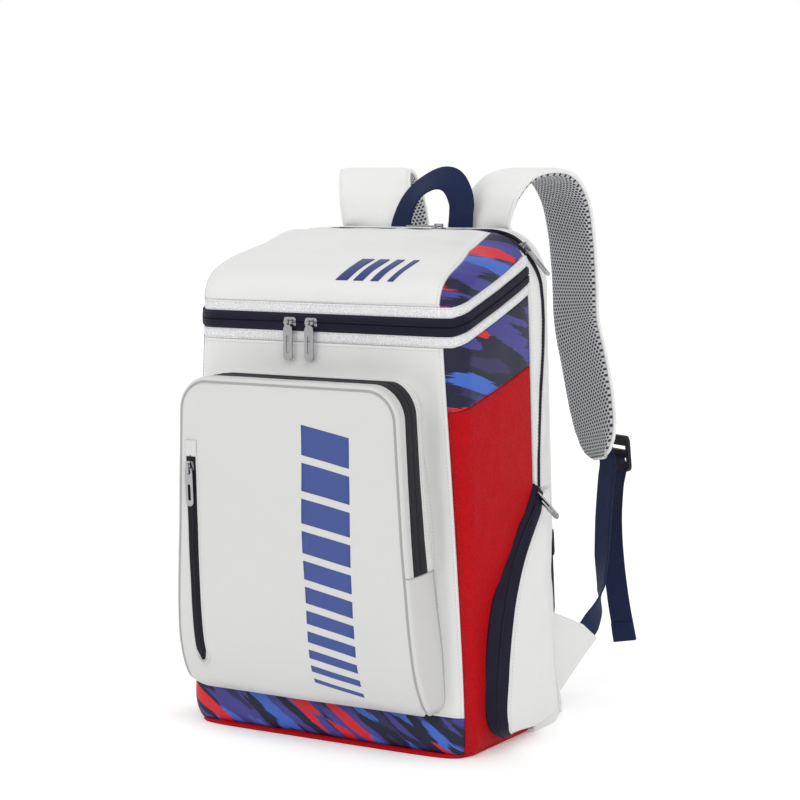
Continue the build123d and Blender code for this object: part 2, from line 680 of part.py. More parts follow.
for slider_name, place in places.items():
    body = slider_body(place)
    save(body, slider_name)
    pull_name = slider_name.replace("slider", "pull")
    if slider_name.startswith("main"):
        pull = ring_pull(hinge_plane(place, BAR_CENTRE))
    elif slider_name.startswith("side"):
        pull = ring_pull(hinge_plane(place, BAR_CENTRE, tilt_x=25))
    elif slider_name == "pocket_slider":
        pull = yoke_pull(hinge_plane(place, PIN_CENTRE, tilt_y=24))
    else:
        pull = yoke_pull(hinge_plane(place, PIN_CENTRE))
    save(pull, pull_name)
    if slider_name.startswith("side"):
        mirrored(body, "side_slider_left")
        mirrored(pull, "side_pull_left")

# corded puller of the small hidden pocket at the right rear edge
lean_out = Vector(half_width(120) + 19 - half_width(SIDE_POCKET_TOP) - 10, 0, 120 - SIDE_POCKET_TOP).normalized()
puller_out = Vector(-lean_out.Z, 0, lean_out.X)
puller_top = Vector(half_width(SIDE_POCKET_TOP) + 10, 76, SIDE_POCKET_TOP) + lean_out * 38 + puller_out * 1.8
with BuildPart() as hidden_puller:
    with BuildSketch(Plane(origin=puller_top + lean_out * 12, x_dir=lean_out, z_dir=puller_out)):
        SlotOverall(24, 5)
    extrude(amount=2.4)
save(hidden_puller, "hidden_pocket_puller")
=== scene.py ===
"""Racket backpack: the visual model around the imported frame.

Shapes are worked out in millimetres, in the frame that the CAD uses. Blends and lights are in metres.
"""

import math

import bmesh
import bpy
import numpy as np
from mathutils import Matrix, Vector


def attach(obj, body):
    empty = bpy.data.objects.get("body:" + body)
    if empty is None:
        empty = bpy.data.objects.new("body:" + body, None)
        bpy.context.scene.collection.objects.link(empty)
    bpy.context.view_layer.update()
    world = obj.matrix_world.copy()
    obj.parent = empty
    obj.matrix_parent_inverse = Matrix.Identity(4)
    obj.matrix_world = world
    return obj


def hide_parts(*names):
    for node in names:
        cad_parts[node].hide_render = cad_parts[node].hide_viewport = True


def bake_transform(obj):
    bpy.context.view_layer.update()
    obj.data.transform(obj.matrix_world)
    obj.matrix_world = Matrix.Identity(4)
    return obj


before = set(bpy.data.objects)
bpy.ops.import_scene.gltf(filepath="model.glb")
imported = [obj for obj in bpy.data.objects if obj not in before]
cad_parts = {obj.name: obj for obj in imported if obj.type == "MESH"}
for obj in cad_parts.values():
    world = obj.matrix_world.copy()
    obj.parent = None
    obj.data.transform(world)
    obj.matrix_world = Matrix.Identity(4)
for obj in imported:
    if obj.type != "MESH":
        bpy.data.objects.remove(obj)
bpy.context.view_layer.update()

MM = 0.001
BASE_HALF, MOUTH_HALF = 154.0, 141.0  # half widths at the floor and at the mouth
MOUTH_Z, RISE = 387.0, 42.0  # the mouth's height at the front, and how much higher it is at the divider
FRONT_Y, DIVIDER_Y, BACK_Y = -86.0, 38.0, 92.0
SEAM_Y = -80.7  # depth of the seam between front and side at the mouth
TOP_Z, SHOULDER = 468.0, 55.0  # the crest, and the radius of the shoulders
CENTRE = np.array([0.0, 0.0, 240.0])  # panels face away from this point
TRIM_EDGE = 18.0  # from the mouth's zip to the outer edge of its reflective trim


# --- small maths -----------------------------------------------------------------------------------
def half_width(z):
    return BASE_HALF - (BASE_HALF - MOUTH_HALF) * z / MOUTH_Z


def mouth_height(y):
    return MOUTH_Z + RISE / (DIVIDER_Y - SEAM_Y) * np.maximum(0, y - SEAM_Y)


def smooth(t):
    t = np.clip(t, 0, 1)
    return t * t * (3 - 2 * t)


def unit(v):
    return v / (np.linalg.norm(v, axis=-1, keepdims=True) + 1e-12)


def paired(a, b):
    """Two values as arrays of one shape."""
    return np.broadcast_arrays(np.asarray(a, float), np.asarray(b, float))


def stacked(*parts):
    """Points from their coordinates, which are spread to one shape."""
    return np.stack(np.broadcast_arrays(*parts), axis=-1)


def lengths(points):
    """Distance along a polyline at each of its points."""
    return np.concatenate([[0], np.cumsum(np.linalg.norm(np.diff(points, axis=0), axis=1))])


def spline(points, n):
    """n points evenly spaced along a smooth curve through the given points."""
    p = np.array(points, float)
    p = np.vstack([2 * p[0] - p[1], p, 2 * p[-1] - p[-2]])
    out = []
    for i in range(1, len(p) - 2):
        t = np.linspace(0, 1, 24, endpoint=False)[:, None]
        a, b, c, d = p[i - 1], p[i], p[i + 1], p[i + 2]
        out.append(
            0.5 * (2 * b + (c - a) * t + (2 * a - 5 * b + 4 * c - d) * t**2 + (3 * b - a - 3 * c + d) * t**3)
        )
    out = np.vstack(out + [p[-2:-1]])
    return resample(out, n)


def resample(points, n):
    """n points evenly spaced along a polyline."""
    points = np.asarray(points, float)
    length = lengths(points)
    at = np.linspace(0, length[-1], n)
    return np.stack([np.interp(at, length, points[:, k]) for k in range(points.shape[1])], axis=1)


def superellipse(a, b, power=5.0):
    """Maps the unit square to a rounded one."""
    r = (np.abs(a) ** power + np.abs(b) ** power) ** (1 / power)
    m = np.maximum(np.abs(a), np.abs(b))
    k = np.where(r > 1e-9, m / np.maximum(r, 1e-9), 1.0)
    return a * k, b * k


def ripple(points, wavelength, height, seed, stretch=(1, 1, 1)):
    """A soft random undulation over space."""
    rng = np.random.default_rng(seed)
    total = np.zeros(points.shape[:-1])
    for _ in range(9):
        k = unit(rng.normal(size=3)) * 2 * math.pi / (wavelength * rng.uniform(0.6, 1.5)) * np.array(stretch)
        total += np.sin(points @ k + rng.uniform(0, 2 * math.pi))
    return total * height / 3


# --- meshes ----------------------------------------------------------------------------------------
def make_object(name, verts, faces, material, uv=None, shade=True, body=None, slot=None):
    mesh = bpy.data.meshes.new(name)
    mesh.from_pydata((np.asarray(verts) * MM).tolist(), [], faces)
    if uv is not None:
        layer = mesh.uv_layers.new(name="metres")
        index = np.empty(len(mesh.loops), int)
        mesh.loops.foreach_get("vertex_index", index)
        layer.data.foreach_set("uv", (np.asarray(uv)[index] * MM).astype(np.float32).ravel())
    mesh.polygons.foreach_set("use_smooth", [shade] * len(mesh.polygons))
    mesh.validate()
    mesh.update()
    made = bpy.data.objects.new(name, mesh)
    bpy.context.scene.collection.objects.link(made)
    mesh.materials.append(material)
    if body:
        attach(made, body)
    return made


def grid_faces(rows, cols, start=0, flip=False, wrap=False):
    faces = []
    for i in range(rows - 1):
        for j in range(cols if wrap else cols - 1):
            k = (j + 1) % cols
            near, far = start + i * cols, start + (i + 1) * cols
            a, b, c, d = near + j, near + k, far + k, far + j
            faces.append((a, d, c, b) if flip else (a, b, c, d))
    return faces


def rim_of(rows, cols):
    """The indices round a grid's edge."""
    rim = [i * cols for i in range(rows)] + [(rows - 1) * cols + j for j in range(1, cols)]
    return rim + [i * cols + cols - 1 for i in range(rows - 2, -1, -1)] + list(range(cols - 2, 0, -1))


def closed_grid(name, outer, inner, material, uv=None, **kw):
    """A closed shell between two grids of points."""
    rows, cols = outer.shape[:2]
    n = rows * cols
    verts = np.vstack([outer.reshape(-1, 3), inner.reshape(-1, 3)])
    normal = unit(np.cross(np.gradient(outer, axis=0), np.gradient(outer, axis=1)))
    flip = np.sum(normal * unit(outer - inner)) < 0
    faces = grid_faces(rows, cols, 0, not flip) + grid_faces(rows, cols, n, flip)
    rim = rim_of(rows, cols)
    for a, b in zip(rim, rim[1:] + rim[:1]):
        faces.append((a, b, b + n, a + n) if not flip else (a, a + n, b + n, b))
    if uv is not None:
        uv = np.vstack([uv.reshape(-1, 2), uv.reshape(-1, 2)])
    made = make_object(name, verts, faces, material, uv, **kw)
    fix_normals(made)
    return made


def fix_normals(made):
    bm = bmesh.new()
    bm.from_mesh(made.data)
    bmesh.ops.recalc_face_normals(bm, faces=bm.faces)
    bm.to_mesh(made.data)
    bm.free()


def spaced(low, high, n, length, edge, at_low, at_high):
    """Parameters from low to high, closer together next to rolled edges."""
    t = list(np.linspace(low, high, n))
    near = np.array([0.08, 0.25, 0.5, 0.8, 1.15]) * edge / length * (high - low)
    if at_low:
        t = [v for v in t if v <= low or v > low + near[-1]] + list(low + near)
    if at_high:
        t = [v for v in t if v >= high or v < high - near[-1]] + list(high - near)
    return np.array(sorted(t))


class Panel:
    """A padded panel over a surface f(a, b), its edges rolled down into their seams."""

    def __init__(self, name, f, a, b, counts, material, body=None, slot=None, seams="ABCD", roll=1.8,
                 crown=0.0, thick=3.0, waves=(), extra=None, outward=None, replaces=(), inner=None):
        mid_a, mid_b = sum(a) / 2, sum(b) / 2
        ta, tb = np.linspace(*a, 40), np.linspace(*b, 40)
        length_a = np.sum(np.linalg.norm(np.diff(f(ta, np.full(40, mid_b)), axis=0), axis=1))
        length_b = np.sum(np.linalg.norm(np.diff(f(np.full(40, mid_a), tb), axis=0), axis=1))
        pa = spaced(a[0], a[1], counts[0], length_a, roll, "A" in seams, "B" in seams)
        pb = spaced(b[0], b[1], counts[1], length_b, roll, "C" in seams, "D" in seams)
        A, B = np.meshgrid(pa, pb, indexing="ij")
        base = f(A, B)
        normal = unit(np.cross(np.gradient(base, axis=0), np.gradient(base, axis=1)))
        out = (base - CENTRE) if outward is None else np.broadcast_to(np.array(outward, float), base.shape)
        if np.sum(normal * out) < 0:
            normal = -normal
        sa = np.concatenate([np.zeros((1, len(pb))), np.cumsum(np.linalg.norm(np.diff(base, axis=0), axis=2),
            0)])
        sb = np.concatenate(
            [np.zeros((len(pa), 1)), np.cumsum(np.linalg.norm(np.diff(base, axis=1), axis=2), 1)], axis=1
        )
        d = np.full(base.shape[:2], 1e6)
        for key, field in (("A", sa), ("B", sa[-1:] - sa), ("C", sb), ("D", sb[:, -1:] - sb)):
            if key in seams:
                d = np.minimum(d, field)
        lift = np.zeros(base.shape[:2])
        close = np.clip(1 - d / roll, 0, 1)
        lift -= roll * (1 - np.sqrt(1 - close**2 * 0.97))
        ua, ub = sa / sa[-1:], sb / sb[:, -1:]
        bell = np.sqrt(np.clip(4 * ua * (1 - ua) if set("AB") & set(seams) else np.ones_like(ua), 0, 1))
        bell = bell * np.sqrt(np.clip(4 * ub * (1 - ub) if set("CD") & set(seams) else np.ones_like(ub), 0,
                                      1))
        lift += crown * bell
        fade = np.clip(d / 14, 0, 1)
        for wavelength, height, seed, *stretch in waves:
            lift += ripple(base, wavelength, height, seed, *stretch) * fade
        if extra is not None:
            lift += extra(base, ua, ub, d)
        self.outer = base + normal * lift[..., None]
        self.normal = unit(np.cross(np.gradient(self.outer, axis=0), np.gradient(self.outer, axis=1)))
        if np.sum(self.normal * normal) < 0:
            self.normal = -self.normal
        self.sa, self.sb = sa, sb
        inside = base - normal * thick if inner is None else inner(base, normal)
        uv = stacked(sa, sb)
        self.object = closed_grid(name, self.outer, inside, material, uv, body=body, slot=slot)
        if replaces:
            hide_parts(*replaces)

    def line(self, edge, inset):
        """Points and normals on the panel at a distance from one edge: A, B (along b) or C, D (along a)."""
        outer, normal = self.outer, self.normal
        s = self.sa if edge in "AB" else self.sb
        if edge in "CD":
            outer, normal, s = outer.transpose(1, 0, 2), normal.transpose(1, 0, 2), s.T
        points, normals = [], []
        for j in range(outer.shape[1]):
            x = inset if edge in "AC" else s[-1, j] - inset
            points.append([np.interp(x, s[:, j], outer[:, j, k]) for k in range(3)])
            normals.append([np.interp(x, s[:, j], normal[:, j, k]) for k in range(3)])
        return np.array(points), unit(np.array(normals))


def tube(name, rings, along, profile, material, body=None, slot=None, replaces=()):
    """A skin over rings of points with both ends capped; uv is (along, around) in millimetres."""
    n, m = rings.shape[:2]
    faces = grid_faces(n, m, wrap=True)
    faces += [tuple(range(m)), tuple(reversed([(n - 1) * m + j for j in range(m)]))]
    uv = stacked(along[:, None], profile[None, :, 0]).reshape(-1, 2)
    made = make_object(name, rings.reshape(-1, 3), faces, material, uv, body=body, slot=slot)
    fix_normals(made)
    if replaces:
        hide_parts(*replaces)
    return made


def sweep(name, path, up, profile, material, body=None, slot=None, scale=None, replaces=()):
    """A closed profile of (across, up) points swept along a path."""
    path, profile = np.asarray(path, float), np.asarray(profile, float)
    up = np.broadcast_to(np.asarray(up, float), path.shape)
    tangent = unit(np.gradient(path, axis=0))
    across = unit(np.cross(tangent, up))
    lift = unit(np.cross(across, tangent))
    k = np.ones(len(path)) if scale is None else np.asarray(scale)
    section = across[:, None] * profile[None, :, :1] + lift[:, None] * profile[None, :, 1:]
    rings = path[:, None] + section * k[:, None, None]
    return tube(name, rings, lengths(path), profile, material, body, slot, replaces)


def circle(radius, n=8, squash=1.0):
    t = np.linspace(0, 2 * math.pi, n, endpoint=False)
    return np.stack([radius * np.cos(t), radius * squash * np.sin(t)], axis=1)


def flat_oval(width, thick, n=3):
    """A flat strap's section with rounded edges."""
    r = thick / 2
    t = np.linspace(-math.pi / 2, math.pi / 2, 2 * n + 1)
    right = np.stack([width / 2 - r + r * np.cos(t), r * np.sin(t)], axis=1)
    fill = np.linspace(width / 2 - r, -(width / 2 - r), 8)[1:-1]
    top = np.stack([fill, np.full(6, r)], axis=1)
    left = -right
    bottom = np.stack([-fill, np.full(6, -r)], axis=1)
    return np.vstack([right, top, left, bottom])


def stitches(name, lines, material, body, pitch=3.4, length=2.4, radius=0.32, rise=0.12):
    """Threads lying in a row along lines of (points, normals)."""
    verts, faces, sides = [], [], 5
    ring_t, ring_r = np.array([-0.5, -0.36, 0, 0.36, 0.5]), np.array([0.35, 0.85, 1, 0.85, 0.35])
    angle = np.linspace(0, 2 * math.pi, sides, endpoint=False)
    for points, normals in lines:
        total = np.sum(np.linalg.norm(np.diff(points, axis=0), axis=1))
        count = max(2, int(total / pitch))
        both = resample(np.hstack([points, normals * 1e-6]), 2 * count + 1)
        middle = both[1::2, :3]
        s = np.linspace(0, 1, len(points))
        normal = unit(resample(np.hstack([points, normals]), 2 * count + 1)[1::2, 3:])
        tangent = unit(both[2::2, :3] - both[:-2:2, :3])
        across = unit(np.cross(normal, tangent))
        for m, t, c, n in zip(middle, tangent, across, normal):
            start = len(verts)
            for rt, rr in zip(ring_t, ring_r):
                sag = rise - radius * 0.9 * (2 * rt) ** 4
                for q in angle:
                    verts.append(m + t * rt * length + (c * math.cos(q) + n * math.sin(q)) * radius * rr
                                 + n * sag)
            faces += grid_faces(5, sides, start, False, wrap=True)
            faces.append(tuple(start + i for i in range(sides)))
            faces.append(tuple(start + 4 * sides + i for i in reversed(range(sides))))
    return make_object(name, verts, faces, material, body=body)


# --- materials -------------------------------------------------------------------------------------
class Shader:
    """A small wrapper round a material's nodes."""

    def __init__(self, name):
        self.material = bpy.data.materials.new(name)
        self.material.use_nodes = True
        self.nodes, self.links = self.material.node_tree.nodes, self.material.node_tree.links
        self.surface = self.nodes["Principled BSDF"]

    def put(self, socket, value):
        if hasattr(value, "is_output"):
            self.links.new(value, socket)
        elif isinstance(value, tuple) and socket.type == "RGBA":
            socket.default_value = (*value, 1.0)
        else:
            socket.default_value = value

    def node(self, kind, output=0, props=None, **inputs):
        made = self.nodes.new("ShaderNode" + kind)
        for key, value in (props or {}).items():
            setattr(made, key, value)
        for key, value in inputs.items():
            index = int(key[1:]) if key[0] == "i" and key[1:].isdigit() else key.replace("_", " ")
            self.put(made.inputs[index], value)
        return made.outputs[output]

    def math(self, kind, *values):
        return self.node("Math", props={"operation": kind}, **{f"i{i}": v for i, v in enumerate(values)})

    def times(self, a, b):
        return self.math("MULTIPLY", a, b)

    def plus(self, a, b):
        return self.math("ADD", a, b)

    def mix(self, factor, a, b, blend="MIX"):
        made = self.nodes.new("ShaderNodeMix")
        made.data_type, made.blend_type = "RGBA", blend
        self.put(made.inputs[0], factor)
        self.put(made.inputs[6], a)
        self.put(made.inputs[7], b)
        return made.outputs[2]

    def ramp(self, value, stops, constant=False):
        made = self.nodes.new("ShaderNodeValToRGB")
        made.color_ramp.interpolation = "CONSTANT" if constant else "LINEAR"
        while len(made.color_ramp.elements) < len(stops):
            made.color_ramp.elements.new(0.5)
        for element, (position, colour) in zip(made.color_ramp.elements, stops):
            element.position = position
            element.color = (*colour, 1) if isinstance(colour, tuple) else (colour, colour, colour, 1)
        self.links.new(value, made.inputs[0])
        return made.outputs[0]

    def uv(self):
        return self.node("TexCoord", 2)

    def place(self):
        return self.node("TexCoord", 3)

    def mapped(self, source, scale=(1, 1, 1), turn=(0, 0, 0), move=(0, 0, 0)):
        return self.node("Mapping", Vector=source, Scale=scale,
                         Rotation=tuple(math.radians(v) for v in turn), Location=move)

    def noise(self, source, scale, detail=2.0, rough=0.5, distortion=0.0):
        return self.node("TexNoise", Vector=source, Scale=scale, Detail=detail, Roughness=rough,
                         Distortion=distortion)

    def bump(self, height, distance, strength=1.0, normal=None):
        extra = {"Normal": normal} if normal is not None else {}
        return self.node("Bump", Height=height, Distance=distance, Strength=strength, **extra)

    def finish(self, **values):
        for key, value in values.items():
            self.put(self.surface.inputs[key.replace("_", " ")], value)
        return self.material


def dimmed(colour, share):
    return tuple(c * share for c in colour)


def coated_fabric(name, colour, warm=0.012, rough=0.42, grain=1.0):
    """PU-coated cloth: fine pebble grain over a faint weave, slightly uneven in tone."""
    s = Shader(name)
    where = s.place()
    tone = s.noise(where, 9.0, 3.0)
    soil = s.noise(where, 60.0, 4.0, 0.6)
    base = s.mix(s.times(tone, 0.5), colour, dimmed(colour, 1 - warm * 2.5))
    base = s.mix(s.times(soil, 0.18), base, dimmed(colour, 0.93))
    pebble = s.node("TexVoronoi", 0, {"feature": "SMOOTH_F1"}, Vector=where, Scale=820.0, Smoothness=0.6)
    fine = s.noise(where, 2600.0, 2.0)
    first = s.bump(pebble, 0.00012 * grain, 0.6)
    second = s.bump(fine, 0.00006 * grain, 0.5, first)
    soft = s.bump(s.noise(where, 45.0, 2.0), 0.0009, 0.35, second)
    roughness = s.plus(s.times(soil, 0.12), rough - 0.06)
    return s.finish(Base_Color=base, Roughness=roughness, Normal=soft, Specular_IOR_Level=0.42)


def embossed_fabric(name, colour):
    """Red PU with a fine embossed pattern of small triangles."""
    s = Shader(name)
    where = s.place()
    turned = s.mapped(where, (1, 1, 1), (45, 0, 0))
    facets, cell = (s.node("TexVoronoi", k, {"feature": "F1", "distance": "MANHATTAN"}, Vector=turned,
                           Scale=420.0, Randomness=0.25) for k in (0, 1))
    lightness = s.node("SeparateColor", 0, Color=cell)
    tone = s.noise(where, 8.0, 3.0)
    dark = dimmed(colour, 0.7)
    base = s.mix(s.times(lightness, 0.55), colour, dark)
    base = s.mix(s.times(tone, 0.35), base, dark)
    first = s.bump(facets, 0.0007, 0.9)
    second = s.bump(s.noise(where, 1900.0, 2.0), 0.0001, 0.5, first)
    return s.finish(Base_Color=base, Roughness=0.62, Normal=second, Specular_IOR_Level=0.09)


def reflective_tape(name):
    """Silver-grey reflective trim: a fine glitter of bright and dark cells."""
    s = Shader(name)
    where = s.place()
    cell = s.node("TexVoronoi", 1, {"feature": "F1"}, Vector=where, Scale=1500.0)
    value = s.node("SeparateColor", 0, Color=cell)
    base = s.ramp(value, [(0.0, (0.50, 0.50, 0.51)), (0.18, (0.62, 0.62, 0.63)), (0.62, (0.72, 0.72, 0.73)),
                          (0.92, (0.86, 0.86, 0.87))])
    patch = s.noise(where, 40.0, 3.0)
    base = s.mix(s.times(patch, 0.25), base, (0.72, 0.71, 0.73))
    normal = s.bump(value, 0.0001, 0.6)
    return s.finish(Base_Color=base, Roughness=0.45, Metallic=0.15, Normal=normal, Specular_IOR_Level=0.5)


def brush_print(name, turn, seed, size):
    """Printed satin: long slanting brush strokes in violet, royal blue and red on dark navy.

    turn brings the strokes' direction on to the axis that size names. size gives their length and width
    in metres.
    """
    s = Shader(name)
    where = s.mapped(s.place(), (1, 1, 1), turn, (seed * 0.037, seed * 0.021, seed * 0.013))
    cells = s.mapped(where, tuple(1 / v for v in size))
    tear = s.node("TexNoise", 1, Vector=s.mapped(cells, (1.2, 1.2, 9)), Scale=1.0, Detail=3.0, Roughness=0.6)
    offset = s.node("VectorMath", 0, {"operation": "MULTIPLY_ADD"}, i0=tear, i1=(0.5, 0.5, 0.42), i2=cells)

    def patches(move, threshold):
        random = s.node("TexVoronoi", 1, {"feature": "F1"}, Vector=s.mapped(offset, (1, 1, 1), (0, 0, 0),
            move), Scale=1.0, Randomness=1.0)
        return s.ramp(s.node("SeparateColor", 0, Color=random), [(0.0, 0.0), (threshold, 1.0)], True)

    navy, dusk, violet = (0.012, 0.013, 0.036), (0.028, 0.026, 0.09), (0.072, 0.06, 0.29)
    blue, red = (0.05, 0.13, 0.50), (0.60, 0.018, 0.03)
    shade = s.noise(s.mapped(cells, (0.7, 0.7, 1.6)), 1.0, 1.0)
    base = s.mix(patches((0, 0, 0), 0.78), navy, dusk)
    base = s.mix(patches((2.3, 4.1, 0.5), 0.6), base, s.mix(shade, violet, (0.04, 0.04, 0.2)))
    base = s.mix(patches((7.3, 1.1, 2.5), 0.84), base, blue)
    base = s.mix(patches((5.1, 8.7, 6.4), 0.83), base, red)
    base = s.mix(patches((9.9, 3.3, 8.2), 0.86), base, navy)
    weave = s.node("TexVoronoi", 0, {"feature": "SMOOTH_F1"}, Vector=s.place(), Scale=1100.0, Smoothness=0.5)
    fold = s.bump(s.noise(s.place(), 40.0, 2.0), 0.001, 0.4)
    normal = s.bump(weave, 0.00012, 0.6, fold)
    return s.finish(Base_Color=base, Roughness=0.5, Normal=normal, Specular_IOR_Level=0.25)


def woven_tape(name, colour, ribs=900.0, twill=520.0, rough=0.62):
    """Zip tape or webbing: ridges along its length crossed by a diagonal twill."""
    s = Shader(name)
    where = s.uv()
    along, across = s.node("SeparateXYZ", 0, Vector=where), s.node("SeparateXYZ", 1, Vector=where)
    diagonal = s.math("SINE", s.times(s.plus(along, s.times(across, 0.9)), twill * 2 * math.pi))
    ridge = s.math("SINE", s.times(across, ribs * 2 * math.pi))
    cord = s.times(s.plus(diagonal, 1.0), 0.5)
    height = s.plus(s.times(cord, 0.6), s.times(s.plus(ridge, 1.0), 0.2))
    fuzz = s.noise(s.place(), 3000.0, 2.0)
    base = s.mix(cord, dimmed(colour, 0.55), tuple(min(1, c * 1.7) for c in colour))
    base = s.mix(s.times(fuzz, 0.3), base, dimmed(colour, 0.7))
    first = s.bump(height, 0.0003, 0.8)
    second = s.bump(fuzz, 0.0001, 0.4, first)
    return s.finish(Base_Color=base, Roughness=rough, Normal=second, Sheen_Weight=0.04,
                    Specular_IOR_Level=0.15)


def air_mesh(name, pitch=0.0034):
    """Grey spacer mesh: rows of diamond holes between raised yarns, the holes painted near-black as the shade
    deep inside them.
    """
    s = Shader(name)
    where = s.uv()
    u, v = s.node("SeparateXYZ", 0, Vector=where), s.node("SeparateXYZ", 1, Vector=where)
    k = 2 * math.pi / pitch
    one = s.math("COSINE", s.times(u, k))
    half, rise = s.times(u, 0.5), s.times(v, 0.8)
    two = s.math("COSINE", s.times(s.plus(half, rise), k))
    three = s.math("COSINE", s.times(s.math("SUBTRACT", half, rise), k))
    field = s.plus(s.plus(one, two), three)
    hole = s.ramp(s.times(s.plus(field, 1.5), 0.2222), [(0.0, 0.0), (0.28, 0.0), (0.40, 1.0), (1.0, 1.0)])
    fuzz = s.noise(s.place(), 2400.0, 2.0)
    yarn = s.mix(fuzz, (0.42, 0.425, 0.445), (0.60, 0.605, 0.63))
    # the holes' near-black colour is painted shade in their depth, not a dark yarn
    base = s.mix(hole, yarn, (0.02, 0.021, 0.026))
    first = s.bump(s.math("SUBTRACT", 1.0, hole), 0.0009, 0.9)
    second = s.bump(fuzz, 0.00012, 0.5, first)
    return s.finish(Base_Color=base, Roughness=0.7, Normal=second, Sheen_Weight=0.2)


def metal(name, colour=(0.40, 0.40, 0.415), rough=0.17):
    s = Shader(name)
    where = s.place()
    scratch = s.noise(s.mapped(where, (1, 1, 1)), 900.0, 3.0, 0.6)
    smudge = s.noise(where, 160.0, 3.0)
    roughness = s.plus(s.times(smudge, 0.22), rough - 0.08)
    return s.finish(Base_Color=s.mix(scratch, colour, dimmed(colour, 0.82)), Metallic=1.0,
                    Roughness=roughness, Normal=s.bump(scratch, 0.00005, 0.5))


def plastic(name, colour=(0.008, 0.008, 0.01), rough=0.5):
    s = Shader(name)
    where = s.place()
    grain = s.noise(where, 1500.0, 2.0)
    tone = s.noise(where, 90.0, 2.0)
    return s.finish(Base_Color=s.mix(tone, colour, dimmed(colour, 1.6)),
                    Roughness=s.plus(s.times(tone, 0.15), rough - 0.07), Normal=s.bump(grain, 0.0001, 0.6),
                    Specular_IOR_Level=0.22)


def thread(name, colour):
    s = Shader(name)
    twist = s.noise(s.place(), 3500.0, 2.0)
    return s.finish(Base_Color=s.mix(twist, colour, dimmed(colour, 0.8)), Roughness=0.6,
                    Normal=s.bump(twist, 0.0001, 0.5))


WHITE = coated_fabric("white_pu", (0.715, 0.717, 0.708))
POCKET = coated_fabric("pocket_pu", (0.60, 0.602, 0.594), rough=0.45)
STRAP_WHITE = coated_fabric("strap_pu", (0.79, 0.79, 0.78))
RED = embossed_fabric("red_pu", (0.50, 0.0035, 0.0075))
SILVER = reflective_tape("reflective_trim")
PRINT_SIDE = brush_print("print_side", (14, 0, 0), 3, (0.2, 0.060, 0.0135))
PRINT_FRONT = brush_print("print_front", (0, -33, 0), 8, (0.048, 0.2, 0.0078))
TAPE = woven_tape("zip_tape", (0.009, 0.008, 0.022), 700.0, 700.0, 0.6)
TAPE_BLACK = woven_tape("zip_tape_black", (0.006, 0.006, 0.009), 700.0, 700.0, 0.6)
WEBBING = woven_tape("navy_webbing", (0.008, 0.016, 0.055), 330.0, 420.0, 0.65)
MESH = air_mesh("air_mesh", 0.0033)
COIL = plastic("zip_coil", (0.008, 0.008, 0.018), 0.6)
NICKEL = metal("polished_nickel")
BLACK = plastic("black_nylon")
THREAD_WHITE = thread("white_thread", (0.62, 0.62, 0.62))
THREAD_DARK = thread("dark_thread", (0.02, 0.02, 0.03))
LINING = coated_fabric("lining", (0.16, 0.16, 0.17), rough=0.6)
# grey of the pocket face's seam cord: painted shadow of the groove round the face
SEAM_SHADOW_GREY = coated_fabric("piping", (0.34, 0.34, 0.34), rough=0.5)


def swell(points):
    """The stuffed bag's sides belly out towards the divider and draw in again at the back."""
    x, y, z = points[..., 0], points[..., 1], points[..., 2]
    push = np.interp(y, [-86, -60, -20, 20, 38, 50, 66, 92, 98],
                     [0, 1.5, 5.0, 6.8, 6.5, 5.0, 1.0, -5.0, -6.0])
    push = push * smooth(z / 70) * np.interp(z, [0, 410, 468], [1, 1, 0.7])
    share = np.clip(np.abs(x) / half_width(z), 0, 1) ** 6
    rise = 17 * (1 - np.sqrt(1 - 0.98 * np.clip((y - 78) / 19, 0, 1) ** 2)) * np.clip(1 - z / 60, 0, 1)
    return stacked(x + np.sign(x) * push * share, y, z + rise)


def seam(z):
    """Perimeter position of the seam between front and side."""
    return np.interp(z, [0, 70, 250, 369, 430], [1.5, 1.48, 1.33, 1.22, 1.2])


# --- the body's skin -------------------------------------------------------------------------------
def skin(p, z):
    """The main compartment's skin: p runs -3 (left rear) to 3 (right rear), with the front between -1 and 1."""
    p, z = paired(p, z)
    side, q = np.where(p < 0, -1.0, 1.0), np.abs(p)
    w = half_width(z)
    r = 18 + 5 * smooth((z - 60) / 300)
    tuck = 9 * (1 - np.sqrt(np.clip(1 - (np.clip(30 - z, 0, 30) / 30) ** 2, 0, 1)))
    w, front = w - tuck, FRONT_Y + tuck
    turn = np.clip(q - 1, 0, 1) * math.pi / 2
    x = np.where(q < 1, q * (w - r), w - r + r * np.sin(turn))
    y = np.where(q < 1, front, front + r - r * np.cos(turn))
    y = np.where(q > 2, front + r + (q - 2) * (DIVIDER_Y - front - r), y)
    return swell(stacked(side * x, y, z))


def strip_surface(low, high, place=lambda u, z: u):
    """A skin strip between two height functions of the depth: f(u, t), u giving the perimeter position."""

    def f(u, t):
        u, t = paired(u, t)
        p = place(u, 250 + 0 * u)
        for _ in range(3):
            y = skin(p, np.full_like(p, MOUTH_Z))[..., 1]
            z = low(y) + (high(y) - low(y)) * t
            p = place(u, z)
        return skin(p, z)

    return f


def left_seam(z):
    return seam(z) + 0.38


def front_place(u, z):
    return u * np.where(np.asarray(u) < 0, left_seam(z), seam(z))


def right_place(u, z):
    return seam(z) + (3 - seam(z)) * u


def left_place(u, z):
    return -(left_seam(z) + (3 - left_seam(z)) * u)


def constant(value):
    return lambda y: np.full_like(y, value)


def mouth(offset):
    return lambda y: mouth_height(y) + offset


def print_low(y):
    return 312 + (346 - 312) * np.clip((y - SEAM_Y) / (DIVIDER_Y - SEAM_Y), 0, 1)


def floor_face(a, b):
    x, y = superellipse(a, b, 9)
    return stacked(x * 145.5, -24 + y * 63, 0.4)


